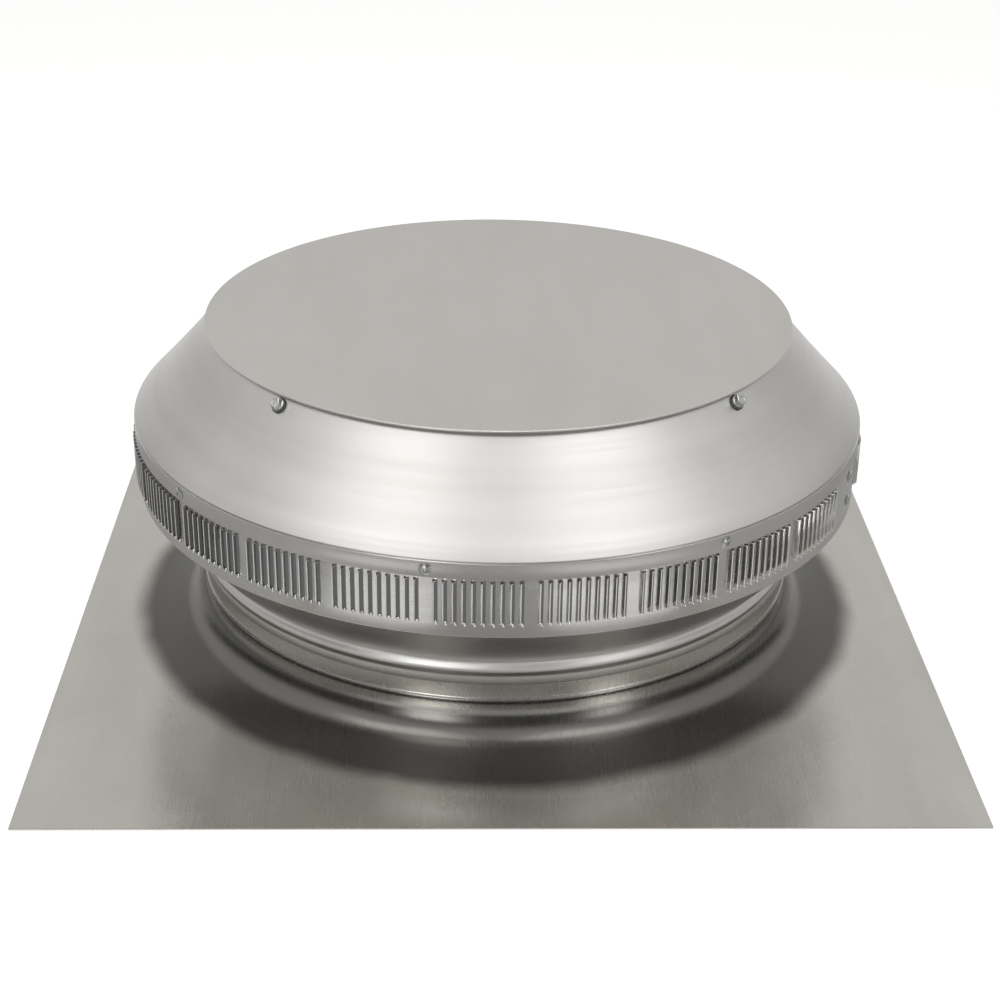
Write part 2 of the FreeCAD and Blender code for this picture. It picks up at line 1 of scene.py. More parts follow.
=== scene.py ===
# %% [markdown]
# # A louvered roof vent in mill-finish aluminium
#
# The vent is a stack of spun and pressed sheet: a square flashing with a round collar, a
# conical pan locked on the collar, a strip of lanced louvers bent into a ring, a conical
# hood with an upright rim, and a flat cap disc held by four screws. The frame brings every
# piece at its real size. This file gives each one the form and finish that the eye expects:
# rolled beads, folded hems, pressed louver ends, turning lines and a soft studio.

import math

import bmesh
import bpy
from mathutils import Matrix, Vector, noise


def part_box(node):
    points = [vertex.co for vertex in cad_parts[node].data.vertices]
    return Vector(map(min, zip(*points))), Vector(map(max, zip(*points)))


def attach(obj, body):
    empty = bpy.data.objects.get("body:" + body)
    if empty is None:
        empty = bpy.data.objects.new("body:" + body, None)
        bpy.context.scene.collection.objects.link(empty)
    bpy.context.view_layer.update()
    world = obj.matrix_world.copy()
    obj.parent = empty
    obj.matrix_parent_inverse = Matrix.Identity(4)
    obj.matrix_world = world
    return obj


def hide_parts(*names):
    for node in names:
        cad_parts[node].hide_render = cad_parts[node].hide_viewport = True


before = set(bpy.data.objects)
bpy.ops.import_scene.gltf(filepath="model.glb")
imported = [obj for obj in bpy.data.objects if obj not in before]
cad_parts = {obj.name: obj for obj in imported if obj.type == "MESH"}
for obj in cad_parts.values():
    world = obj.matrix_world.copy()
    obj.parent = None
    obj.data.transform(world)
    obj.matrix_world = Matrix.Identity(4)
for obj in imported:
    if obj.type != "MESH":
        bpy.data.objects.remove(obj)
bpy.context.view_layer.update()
print("nodes:", sorted(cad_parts))

# %% [markdown]
# Sheet metal is drawn in millimetres and the frame is in metres, so one constant joins
# them. The main radii and heights are read from the frame's own boxes. Only sizes that no
# box shows, such as a sheet's thickness, a slope or the collar's radius, are named here.

# %% Sizes that come from the frame
MM = 0.001
TURN = 2 * math.pi


def reach(node):
    """A round node's outer radius."""
    low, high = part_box(node)
    return max(high.x, -low.x, high.y, -low.y)


def foot_and_top(node):
    low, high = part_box(node)
    return low.z, high.z


HOOD_RADIUS = reach("hood")
CAP_RADIUS = reach("cap_disc")
PAN_RADIUS = reach("lower_pan")
FLANGE_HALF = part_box("base_flashing")[1].x
RIM_BOTTOM, MOUTH = foot_and_top("hood")
CAP_BOTTOM, CAP_TOP = foot_and_top("cap_disc")
BAND_BOTTOM, BAND_TOP = foot_and_top("louver_band")
SKIRT_BOTTOM, LIP_TOP = foot_and_top("lower_pan")
COLLAR_TOP = foot_and_top("base_flashing")[1]
print(f"hood {HOOD_RADIUS:.4f} m, cap {CAP_RADIUS:.4f} m, flange half {FLANGE_HALF:.4f} m")

# %% Sizes that no box shows
SHEET = 1.2 * MM
STRIP_SHEET = 1.0 * MM
CAP_SHEET = 1.05 * MM
SLIP = 0.3 * MM
BAND_RADIUS = HOOD_RADIUS - SHEET - SLIP
RIM_HEIGHT = 13.5 * MM
RIM_TOP = RIM_BOTTOM + RIM_HEIGHT
MOUTH_RADIUS = CAP_RADIUS - 5.3 * MM
SLOPE = math.radians(47.5)
COLLAR_RADIUS = 250.9 * MM
BEND_RADIUS = 30.0 * MM
RISE_RADIUS = 130.0 * MM
RISE_ANGLE = 22.0
SEGMENTS = 240

# %% [markdown]
# ## Spun shells
#
# A shell that was spun on a lathe is one outline turned about an axis. The outline could be
# a curve with a Screw modifier, but building the mesh directly keeps the bends exact and
# leaves no modifier on the piece. Each outline below goes once round the sheet's section,
# outer face and inner face, with real arcs where the metal bends.

# %% Helpers for outlines
def arc(centre, radius, start, end, steps):
    """Points of an arc in the section, with angles in degrees from outwards, up being 90."""
    points = []
    for step in range(steps + 1):
        angle = math.radians(start + (end - start) * step / steps)
        points.append((centre[0] + radius * math.cos(angle), centre[1] + radius * math.sin(angle)))
    return points


def bump_out(radius, low, high, depth, steps):
    """A rolled bead on an upright wall, from low to high, standing depth proud."""
    points = []
    for step in range(steps + 1):
        share = step / steps
        out = depth * math.sin(math.pi * share) ** 2
        points.append((radius + out, low + (high - low) * share))
    return points


def finish_mesh(name, vertices, faces, sharp=32.0):
    """A smooth-shaded object from vertices and faces, with its crisp bends kept sharp."""
    mesh = bpy.data.meshes.new(name)
    mesh.from_pydata([tuple(vertex) for vertex in vertices], [], faces)
    form = bmesh.new()
    form.from_mesh(mesh)
    bmesh.ops.remove_doubles(form, verts=form.verts, dist=1e-6)
    bmesh.ops.recalc_face_normals(form, faces=form.faces)
    form.to_mesh(mesh)
    form.free()
    mesh.shade_smooth()
    mesh.set_sharp_from_angle(angle=math.radians(sharp))
    piece = bpy.data.objects.new(name, mesh)
    bpy.context.scene.collection.objects.link(piece)
    print(f"{name}: {len(mesh.polygons)} faces")
    return piece


def around(radius, turn, height):
    """A point of the vent, with the turn measured from the front towards +X."""
    return Vector((radius * math.sin(turn), -radius * math.cos(turn), height))


def spin(name, outline, sharp=32.0, place=None):
    """The closed outline turned a full turn, each point through place if it is given."""
    place = place or around
    count = len(outline)
    vertices = []
    faces = []
    for segment in range(SEGMENTS):
        turn = TURN * segment / SEGMENTS
        following = (segment + 1) % SEGMENTS
        vertices.extend(place(radius, turn, height) for radius, height in outline)
        for corner in range(count):
            after = (corner + 1) % count
            faces.append(
                (
                    segment * count + corner,
                    segment * count + after,
                    following * count + after,
                    following * count + corner,
                )
            )
    return finish_mesh(name, vertices, faces, sharp)


# %% [markdown]
# The hood's slope isn't quite straight: a spun cone springs in a little between its bends.
# Where the slope turns down into the rim there is a small radius, and the lower edge is
# dressed smooth.

# %% The hood
RIM_BEND = 4.0 * MM
HOLLOW = 0.9 * MM


def slope_line(top, bottom, hollow, steps):
    """A line that sags by hollow at its middle, square to its own direction."""
    run = Vector((bottom[0] - top[0], bottom[1] - top[1]))
    across = Vector((-run.y, run.x)).normalized()
    if across.y > 0:
        across.negate()
    points = []
    for step in range(steps + 1):
        share = step / steps
        sag = across * hollow * 4 * share * (1 - share)
        points.append((top[0] + run.x * share + sag.x, top[1] + run.y * share + sag.y))
    return points


def make_hood():
    tangent = RIM_BEND * math.tan((math.pi / 2 - SLOPE) / 2)
    centre = (HOOD_RADIUS - RIM_BEND, RIM_TOP - tangent)
    lean = 90 - math.degrees(SLOPE)
    outer_bend = arc(centre, RIM_BEND, lean, 0, 6)
    inner_bend = arc(centre, RIM_BEND - SHEET, 0, lean, 6)
    outer = slope_line((MOUTH_RADIUS, MOUTH), outer_bend[0], HOLLOW, 8)
    inner_mouth = (MOUTH_RADIUS - SHEET / math.sin(SLOPE), MOUTH)
    inner = slope_line(inner_mouth, inner_bend[-1], HOLLOW, 8)
    edge = arc((HOOD_RADIUS - SHEET / 2, RIM_BOTTOM + SHEET / 2), SHEET / 2, 0, -180, 4)
    outline = [*outer[:-1], *outer_bend, *edge, *inner_bend, *inner[-2::-1]]
    return spin("hood_shell", outline)


hood = make_hood()
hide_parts("hood")
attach(hood, "root")

# %% [markdown]
# The cap is one flat disc with a closed hem: its edge is folded back under itself, which
# makes the bright round line that runs along its rim. A flat sheet is never perfectly flat,
# so its face wanders by a few tenths of a millimetre. The wander is what breaks up a
# reflection and makes it read as metal.

# %% The cap disc
def wander(x, y, size, height, seed):
    """A slow rise and fall of a sheet, as a height."""
    return height * noise.noise(Vector((x / size, y / size, seed)))


def make_cap():
    fold = CAP_SHEET
    hem_width = 6.0 * MM
    sag = 0.25 * MM
    flat_rings = 14
    under_gap = 0.12 * MM
    rim = CAP_RADIUS - fold
    top = [(rim * step / flat_rings, CAP_TOP) for step in range(flat_rings)]
    nose = arc((rim, CAP_TOP - fold), fold, 90, -90, 8)
    hem = [
        (CAP_RADIUS - hem_width, CAP_BOTTOM),
        (CAP_RADIUS - hem_width, CAP_TOP - CAP_SHEET - under_gap),
        (rim - fold / 2, CAP_TOP - CAP_SHEET - under_gap),
        (rim - fold / 2, CAP_TOP - CAP_SHEET),
    ]
    under = [(rim * step / flat_rings, CAP_TOP - CAP_SHEET) for step in reversed(range(flat_rings))]

    def place(radius, turn, height):
        point = around(radius, turn, height)
        calm = max(0.0, 1 - (radius / rim) ** 4)
        point.z -= abs(wander(point.x, point.y, 0.16, sag, 3.0)) * calm
        return point

    return spin("cap_sheet_disc", [*top, *nose, *hem, *under], place=place)


cap = make_cap()
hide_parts("cap_disc")
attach(cap, "root")

# %% [markdown]
# The pan's skirt and the flashing's collar are locked by a bead that is rolled into both at
# once. It is a soft swelling and not a ridge, so its section is a raised sine.

# %% The lower pan
PAN_SLOPE = math.radians(49.0)
LOCK_WIDTH = 13.0 * MM
LOCK_DEPTH = 1.8 * MM
SKIRT_RADIUS = COLLAR_RADIUS + SLIP + SHEET
FOOT = COLLAR_TOP + 5.2 * MM
PAN_RIM = LIP_TOP - 5.5 * MM


def make_pan():
    bend = 1.6 * MM
    lean = math.degrees(PAN_SLOPE)
    rim_tangent = bend * math.tan((math.pi / 2 - PAN_SLOPE) / 2)
    low_bead = FOOT - LOCK_WIDTH
    outer_bead = bump_out(SKIRT_RADIUS, low_bead, FOOT, LOCK_DEPTH, 12)
    drop = SHEET * math.tan((math.pi / 2 - PAN_SLOPE) / 2)
    inner_bead = bump_out(SKIRT_RADIUS - SHEET, low_bead, FOOT + drop, LOCK_DEPTH, 12)
    rim_centre = (PAN_RADIUS - bend, PAN_RIM + rim_tangent)
    rim_bend = arc(rim_centre, bend, lean - 90, 0, 4)
    edge = arc((SKIRT_RADIUS - SHEET / 2, SKIRT_BOTTOM + SHEET / 2), SHEET / 2, 180, 360, 4)
    outline = [
        *edge,
        *outer_bead,
        *rim_bend,
        (PAN_RADIUS, LIP_TOP),
        (PAN_RADIUS - SHEET, LIP_TOP),
        (PAN_RADIUS - SHEET, PAN_RIM + drop),
        *reversed(inner_bead),
    ]
    return spin("pan_shell", outline)


pan = make_pan()
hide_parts("lower_pan")
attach(pan, "root")

# %% [markdown]
# The flashing starts as a square sheet. Its middle is pressed and spun up into the collar:
# the sheet rises gently first and then turns up in a tighter bend. The mesh follows the same
# idea, with rings that are round at the collar and grow into the square at the edge. The
# sheet also lifts a little here and there, as handled sheet does, but never below the roof.

# %% The flashing
WATER_BEAD = 42.5 * MM
WATER_BEAD_WIDTH = 6.0 * MM
WATER_BEAD_DEPTH = 1.4 * MM


def square_reach(turn):
    """How far the square's side is from the centre in this direction."""
    return FLANGE_HALF / max(abs(math.sin(turn)), abs(math.cos(turn)))


def make_flashing():
    lean = math.radians(RISE_ANGLE)
    sweep_end = COLLAR_RADIUS + BEND_RADIUS + (RISE_RADIUS - BEND_RADIUS) * math.sin(lean)
    sweep_top = SHEET + RISE_RADIUS * (1 - math.cos(lean)) + BEND_RADIUS * math.cos(lean)
    rise_centre = (sweep_end, SHEET + RISE_RADIUS)
    bend_centre = (COLLAR_RADIUS + BEND_RADIUS, sweep_top)
    low_bead = WATER_BEAD - WATER_BEAD_WIDTH / 2
    high_bead = WATER_BEAD + WATER_BEAD_WIDTH / 2
    lock_low = FOOT - LOCK_WIDTH
    lift = 0.5 * MM
    plate_rings = 8

    def sweep(offset):
        """One face of the sweep, from the plate in to the collar's foot."""
        gentle = arc(rise_centre, RISE_RADIUS + offset, 270, 270 - RISE_ANGLE, 9)
        tight = arc(bend_centre, BEND_RADIUS + offset, 270 - RISE_ANGLE, 180, 10)
        return [*gentle[:-1], *tight]

    def wall(radius):
        """One face of the collar, from its foot to its top."""
        flared = 0.5 * LOCK_DEPTH
        return [
            *bump_out(radius, low_bead, high_bead, WATER_BEAD_DEPTH, 10),
            (radius, (high_bead + lock_low) / 2),
            (radius, lock_low),
            (radius + flared, lock_low + 0.55 * (COLLAR_TOP - lock_low)),
            (radius + LOCK_DEPTH, COLLAR_TOP),
        ]

    plate_out = [(sweep_end + step, SHEET) for step in range(1, plate_rings + 1)]
    plate_in = [(sweep_end + step, 0.0) for step in range(1, plate_rings + 1)]
    outline = [
        *sweep(0.0),
        *wall(COLLAR_RADIUS),
        *reversed(wall(COLLAR_RADIUS - SHEET)),
        *reversed(sweep(SHEET)),
        *plate_in,
        *reversed(plate_out),
    ]

    def place(radius, turn, height):
        # Beyond the sweep the whole part of the radius only counts the plate's rings
        if radius <= sweep_end + MM:
            return around(radius, turn, height)
        share = (radius - sweep_end) / plate_rings
        point = around(sweep_end + (square_reach(turn) - sweep_end) * share, turn, height)
        swell = math.sin(math.pi * share)
        point.z += abs(wander(point.x, point.y, 0.12, lift, 7.0)) * swell
        return point

    return spin("flashing_sheet", outline, place=place)


flashing = make_flashing()
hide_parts("base_flashing")
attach(flashing, "root")

# %% [markdown]
# ## The louver strip
#
# The strip is punched flat and then bent round. A lance cuts each louver along its top, its
# bottom and one side and pushes the tongue outwards, so the tongue stays hinged on the
# other side. At its two ends the metal stretches instead of tearing clean, which leaves a
# small web that closes the louver. An array modifier could repeat the louver, but the strip
# skips one louver at every plain bar, so a loop over the pitches is simpler. Every point is
# laid out on the flat strip first and is then bent onto the ring.

# %% The pitch of the louvers
PANELS = 25
SLOTS = 10
FIRST_BAR = math.radians(3.5)
LAP_PANEL = 4
PANEL_STEP = TURN / PANELS
PITCH_STEP = PANEL_STEP / (SLOTS + 1)
WINDOW_BOTTOM = BAND_BOTTOM + 10.8 * MM
WINDOW_TOP = WINDOW_BOTTOM + 35.5 * MM
WINDOW_HALF = 1.95 * MM
PITCH = PITCH_STEP * BAND_RADIUS
print(f"louver pitch {PITCH / MM:.2f} mm")


def bend_round(flat, turn):
    """A point of the flat strip (along, out, up) bent onto the ring at a turn."""
    along, out, up = flat
    return around(BAND_RADIUS + out, turn + along / BAND_RADIUS, up)


# %% [markdown]
# One louver is a stack of closed sections. The section is flat at both ends of the window
# and leans out fully a little way in, so the web at each end comes by itself from the
# sections between. The upper end closes in a shorter way than the lower one.

# %% One louver
VANE_REACH = 3.4 * MM
VANE_LEAN = math.radians(70.0)
VANE_SHEET = 0.8 * MM
EDGE_ROUND = 0.25 * MM
CLOSING = 2.6 * MM
HEAD_CLOSING = 0.3 * CLOSING
LOUVER_FOOT = WINDOW_BOTTOM + CLOSING
LOUVER_HEAD = WINDOW_TOP - HEAD_CLOSING


def ring_faces(rings, count, capped=False):
    """Quads between rings of count vertices each, with a cap on both ends if asked."""
    faces = []
    if capped:
        faces += [tuple(range(count)), tuple(range((rings - 1) * count, rings * count))]
    for ring in range(rings - 1):
        for corner in range(count):
            after = (corner + 1) % count
            low = ring * count
            high = low + count
            faces.append((low + corner, low + after, high + after, high + corner))
    return faces


def leaf_line(opened, steps=4):
    """The louver's outer face across the strip, flat when opened is 0 and leant when 1."""
    hinge = -WINDOW_HALF
    points = []
    for step in range(steps + 1):
        share = step / steps
        bend = VANE_LEAN * opened * min(1.0, share / 0.3)
        flat = 2 * WINDOW_HALF * share
        length = VANE_REACH * share * opened + flat * (1 - opened)
        points.append(Vector((hinge + length * math.cos(bend), length * math.sin(bend))))
    return points


def leaf_section(opened):
    """The louver's closed section: outer face, rounded cut edge, inner face."""
    outer = leaf_line(opened)
    ahead = (outer[-1] - outer[-2]).normalized()
    tip_out = Vector((-ahead.y, ahead.x))
    corner = outer[-1] - ahead * EDGE_ROUND
    rounded = []
    for degrees in (90, 60, 30, 0):
        angle = math.radians(degrees)
        swing = tip_out * (math.sin(angle) - 1) + ahead * math.cos(angle)
        rounded.append(corner + swing * EDGE_ROUND)
    blunt = outer[-1] - tip_out * (VANE_SHEET - EDGE_ROUND / 2)
    inner = []
    for before, point in zip(outer, outer[1:-1]):
        along = (point - before).normalized()
        inner.append(point - Vector((-along.y, along.x)) * VANE_SHEET)
    root = outer[0] - Vector((0, VANE_SHEET))
    return [*outer[:-1], *rounded, blunt, *reversed(inner), root]


def make_louver_pattern():
    """Vertices and faces of one louver on the flat strip, its window centred on zero."""
    levels = (0.0, 0.22, 0.5, 0.78, 1.0)
    rows = []
    for share in levels:
        opened = math.sin(share * math.pi / 2) ** 1.2
        rows.append((WINDOW_BOTTOM + CLOSING * share, leaf_section(opened)))
    for share in reversed(levels):
        opened = math.sin(share * math.pi / 2) ** 0.8
        rows.append((WINDOW_TOP - HEAD_CLOSING * share, leaf_section(opened)))
    vertices = [Vector((point.x, point.y, height)) for height, row in rows for point in row]
    return vertices, ring_faces(len(rows), len(rows[0][1]))


# %% [markdown]
# The shears leave an edge along the tongue, and its lower end is drawn out into a small lip that
# catches the light. Both are thinner than anything the strip's own mesh can show, so each is a small
# form of its own: a bar with a rounded back, and a drop that runs out and down. They are one piece with
# the strip, and their much lighter tone is a painted highlight.

# %% The cut edge and the drawn lip of a louver
TIP = Vector((VANE_REACH * math.cos(VANE_LEAN) - WINDOW_HALF, VANE_REACH * math.sin(VANE_LEAN)))


def make_cut_edge():
    """The sheared edge that runs up the tongue's tip, slightly rounded, with a painted highlight in its
    lighter tone.
    """
    half = 0.42 * MM
    crown = 0.8 * half
    sunk = 0.3 * MM
    centre = TIP - TIP.normalized() * sunk
    ahead = Vector((math.cos(VANE_LEAN), math.sin(VANE_LEAN)))
    side = Vector((-ahead.y, ahead.x))
    swings = [math.radians(angle) for angle in (0, 45, 90, 135, 180)]
    vertices = []
    for height in (LOUVER_FOOT, LOUVER_HEAD):
        for swing in swings:
            point = centre + side * half * math.cos(swing) + ahead * crown * math.sin(swing)
            vertices.append(Vector((point.x, point.y, height)))
    return vertices, ring_faces(2, len(swings), capped=True)


def make_lip():
    """The drawn lip at the louver's lower end, a drop that runs out and down to the right."""
    middle = Vector((0.75 * MM, 0.75 * MM, WINDOW_BOTTOM + 0.7 * MM))
    along = Vector((0.50, 0.60, -0.62)).normalized()
    facing = Vector((0.10, 0.60, 0.80))
    facing = (facing - along * facing.dot(along)).normalized()
    side = along.cross(facing)
    length = 2.1 * MM
    width = 0.95 * MM
    depth = 0.65 * MM
    count = 8
    rings = 6
    vertices = []
    for ring in range(rings):
        share = math.pi * (ring + 0.5) / rings
        for step in range(count):
            turn = TURN * step / count
            across = side * width * math.cos(turn) + facing * depth * math.sin(turn)
            vertices.append(middle - along * length * math.cos(share) + across * math.sin(share))
    return vertices, ring_faces(rings, count, capped=True)


louver_form = make_louver_pattern()
edge_forms = (make_cut_edge(), make_lip())
print(f"one louver: {len(louver_form[1]) + sum(len(form[1]) for form in edge_forms)} faces")

# %% [markdown]
# The strip itself is what is left between the windows: narrow bars between two louvers and
# wide ones between two panels, all bent round. One panel has no louvers, because there the
# two ends of the strip lie over each other. The folded hem makes the lower edge stiff.

# %% The whole strip
HEM_WIDTH = 4.0 * MM


def is_louver(pitch):
    """Whether this pitch, counted round from the plain panel, has a louver in it."""
    panel, slot = divmod(pitch, SLOTS + 1)
    return panel > 0 and slot > 0


def add_form(vertices, faces, form, turn):
    """A form of the flat strip, bent onto the ring at a turn."""
    first = len(vertices)
    vertices.extend(bend_round(vertex, turn) for vertex in form[0])
    faces.extend(tuple(first + corner for corner in face) for face in form[1])


def add_rib(vertices, faces, turns):
    """A bent bar of the plain strip between two windows, through all the turns."""
    start = len(vertices)
    for turn in turns:
        for out, up in (
            (0, WINDOW_BOTTOM),
            (0, WINDOW_TOP),
            (-STRIP_SHEET, WINDOW_TOP),
            (-STRIP_SHEET, WINDOW_BOTTOM),
        ):
            vertices.append(bend_round((0, out, up), turn))
    for step in range(len(turns) - 1):
        low = start + step * 4
        for corner in (0, 2):
            faces.append((low + corner, low + corner + 4, low + corner + 5, low + corner + 1))
    last = start + (len(turns) - 1) * 4
    faces.append((start, start + 1, start + 2, start + 3))
    faces.append((last, last + 3, last + 2, last + 1))


def make_strip():
    vertices = []
    faces = []
    start = FIRST_BAR + LAP_PANEL * PANEL_STEP
    window = WINDOW_HALF / BAND_RADIUS
    pitches = PANELS * (SLOTS + 1)
    louvers = [pitch for pitch in range(pitches) if is_louver(pitch)]
    edge_vertices = []
    edge_faces = []
    for pitch, following in zip(louvers, [*louvers[1:], louvers[0] + pitches]):
        turn = start + PITCH_STEP * pitch
        add_form(vertices, faces, louver_form, turn)
        for form in edge_forms:
            add_form(edge_vertices, edge_faces, form, turn)
        between = [start + PITCH_STEP * step for step in range(pitch + 1, following)]
        end = start + PITCH_STEP * following - window
        add_rib(vertices, faces, [turn + window, *between, end])
    ribs = finish_mesh("louver_ribs_and_vanes", vertices, faces, sharp=38.0)
    return ribs, finish_mesh("louver_cut_edges", edge_vertices, edge_faces, sharp=60.0)


def make_strip_edges():
    """The plain edge over the louvers and the folded edge under them."""
    inside = BAND_RADIUS - STRIP_SHEET
    fold = 1.1 * MM
    upper = [
        (BAND_RADIUS, WINDOW_TOP),
        (BAND_RADIUS, BAND_TOP),
        (inside, BAND_TOP),
        (inside, WINDOW_TOP),
    ]
    corner = arc((BAND_RADIUS - fold, BAND_BOTTOM + fold), fold, 0, -90, 6)
    lower = [
        (BAND_RADIUS, WINDOW_BOTTOM),
        *corner,
        (BAND_RADIUS - HEM_WIDTH, BAND_BOTTOM),
        (BAND_RADIUS - HEM_WIDTH, BAND_BOTTOM + STRIP_SHEET),
        (inside, BAND_BOTTOM + STRIP_SHEET),
        (inside, WINDOW_BOTTOM),
    ]
    return spin("louver_strip_upper_edge", upper), spin("louver_strip_hem", lower)


strip, cut_edges = make_strip()
upper_edge, hem = make_strip_edges()
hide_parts("louver_band")
for piece in (strip, cut_edges, upper_edge, hem):
    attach(piece, "root")

# %% [markdown]
# ## Fasteners
#
# The cap is held by hexagon washer-head screws on rubber sealing washers, and the rims by
# blind rivets with a domed head and a small hollow where the mandrel snapped off. Each kind
# is modelled once, upright, and set down at every place. The places follow from the hood's
# slope, the number of brackets and the step of the louver panels, as they do in the frame.

# %% Where the fasteners sit
BRACKETS = 4
FIRST_BRACKET = math.radians(46.5)
RIVETS = 8
FIRST_RIVET = FIRST_BAR - 4 * PANEL_STEP
RIVET_STEP = 3 * PANEL_STEP
SCREW_SETBACK = 9.5 * MM
RIVET_HEIGHT = RIM_BOTTOM + RIM_HEIGHT / 2


def stand(turn, radius, height, lean):
    """A placement whose Z leans outwards from upright by lean, at a turn round the vent."""
    place = Matrix.Translation(around(radius, turn, height))
    return place @ Matrix.Rotation(turn, 4, "Z") @ Matrix.Rotation(lean, 4, "X")


screw_places = [
    stand(
        FIRST_BRACKET + TURN / BRACKETS * index,
        MOUTH_RADIUS + SCREW_SETBACK * math.cos(SLOPE),
        MOUTH - SCREW_SETBACK * math.sin(SLOPE),
        SLOPE,
    )
    for index in range(BRACKETS)
]
rim_places = [
    stand(FIRST_RIVET + RIVET_STEP * index, HOOD_RADIUS, RIVET_HEIGHT, math.pi / 2)
    for index in range(RIVETS)
]
LAP_TURN = FIRST_BAR + (LAP_PANEL + 0.5) * PANEL_STEP
LAP_INSET = 7.0 * MM
lap_places = [
    stand(LAP_TURN, BAND_RADIUS, height, math.pi / 2)
    for height in (WINDOW_BOTTOM + LAP_INSET, WINDOW_TOP - LAP_INSET)
]
print(f"{len(screw_places)} screws, {len(rim_places) + len(lap_places)} rivets")


# %% [markdown]
# A rivet, a screw or a washer is turned from one outline, and a hexagon is the same thing
# with six sides. A mesh cylinder with a bevel would do for one of them, but an outline gives
# the dome, the flange and the thread in the same way.

# %% Turned and hexagonal forms
def turned(outline, sides=24):
    """Vertices and faces of an outline turned about Z, from its foot to its crown."""
    vertices = []
    faces = []
    count = len(outline)
    for side in range(sides):
        turn = TURN * side / sides
        following = (side + 1) % sides
        vertices.extend(
            Vector((radius * math.cos(turn), radius * math.sin(turn), height))
            for radius, height in outline
        )
        for corner in range(count - 1):
            faces.append(
                (
                    side * count + corner,
                    following * count + corner,
                    following * count + corner + 1,
                    side * count + corner + 1,
                )
            )
    return vertices, faces


def set_down(name, forms, places, sharp=35.0):
    """One object with the forms copied to every place."""
    vertices = []
    faces = []
    for place in places:
        for form_vertices, form_faces in forms:
            first = len(vertices)
            vertices.extend(place @ vertex for vertex in form_vertices)
            faces.extend(tuple(first + corner for corner in face) for face in form_faces)
    return finish_mesh(name, vertices, faces, sharp)


# %% [markdown]
# A blind rivet has a low domed head outside and a swollen tail inside. The grip between them
# is the sheet that it holds, so the tail is set down by the grip.

# %% Rivets
RIM_GRIP = 2.5 * MM
LAP_GRIP = 2.0 * MM


def rivet_form():
    head = 4.75 * MM
    dome = 1.6 * MM
    hollow = 1.25 * MM
    bulge = (head**2 + dome**2) / (2 * dome)
    points = [(head, 0.1 * MM), (head, 0.3 * MM)]
    for step in range(7):
        radius = head + (hollow - head) * step / 6
        height = math.sqrt(bulge**2 - radius**2) - (bulge - dome)
        points.append((radius, height + 0.3 * MM))
    points.append((hollow * 0.9, dome * 0.45))
    points.append((hollow * 0.35, dome * 0.35))
    points.append((0.0, dome * 0.5))
    return turned(points)


def tail_form(grip):
    """The set end of a rivet on the inside of the vent."""
    tail = 3.4 * MM
    length = 3.0 * MM
    points = [(0.0, -grip - length), (tail * 0.6, -grip - length), (tail, -grip - length * 0.6)]
    points += [(tail * 0.9, -grip - 0.1 * MM), (0.0, -grip - 0.1 * MM)]
    return turned(points, 16)


rivet = rivet_form()
rim_rivets = set_down("rim_rivet_heads", [rivet, tail_form(RIM_GRIP)], rim_places)
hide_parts("rim_rivets")
lap_rivets = set_down("lap_rivet_heads", [rivet, tail_form(LAP_GRIP)], lap_places)
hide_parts("band_lap_rivets")
for piece in (rim_rivets, lap_rivets):
    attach(piece, "root")

# %% [markdown]
# The screw's hexagon stands on a wide flange, and the flange presses the rubber washer so
# that its edge bulges a little. The thread is a row of rings: it is seen from inside only.

# %% Screws and their washers
WASHER_BASE = 0.1 * MM
WASHER_THICKNESS = 1.5 * MM
HEXAGON_FLATS = 7.9 * MM
HEXAGON_HEIGHT = 4.0 * MM


def hexagon_form(flats, low, height):
    """A hexagon head with a dished crown, its corners chamfered."""
    corner = flats / math.sqrt(3)
    chamfer = 0.5 * MM
    rings = (
        (corner, low),
        (corner, low + height - chamfer),
        (corner * 0.88, low + height),
        (corner * 0.62, low + height),
        (corner * 0.50, low + height - 0.35 * MM),
        (0.0, low + height - 0.35 * MM),
    )
    return turned(rings, 6)


def screw_forms():
    low = WASHER_BASE + WASHER_THICKNESS + 0.1 * MM
    flange = 5.2 * MM
    flange_form = turned(
        [
            (0.0, low),
            (flange, low),
            (flange, low + 0.45 * MM),
            (flange * 0.86, low + 0.95 * MM),
            (0.0, low + 1.0 * MM),
        ]
    )
    hexagon = hexagon_form(HEXAGON_FLATS, low + 0.9 * MM, HEXAGON_HEIGHT)
    thread = []
    shank = 2.4 * MM
    depth = 12.4 * MM
    threads = 8
    for step in range(threads):
        height = -depth + 2.2 * MM + (depth - 2.2 * MM) * step / threads
        thread.append((shank * 0.78, height))
        thread.append((shank, height + 0.6 * MM))
    point = [(0.0, -depth), (shank * 0.5, -depth + 1.2 * MM)]
    return [flange_form, hexagon, turned([*point, *thread, (shank, low)], 16)]


def washer_form():
    outer = 6.0 * MM
    bore = 2.5 * MM
    squeeze = 0.25 * MM
    top = WASHER_BASE + WASHER_THICKNESS
    middle = (WASHER_BASE + top) / 2
    return turned(
        [
            (bore, WASHER_BASE),
            (outer, WASHER_BASE),
            (outer + squeeze, middle),
            (outer - squeeze, top),
            (bore, top),
            (bore, WASHER_BASE),
        ]
    )


screws = set_down("cap_screw_set", screw_forms(), screw_places)
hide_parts("cap_screws")
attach(screws, "root")
washers = set_down("seal_washer_set", [washer_form()], screw_places)
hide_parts("cap_screw_washers")
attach(washers, "root")
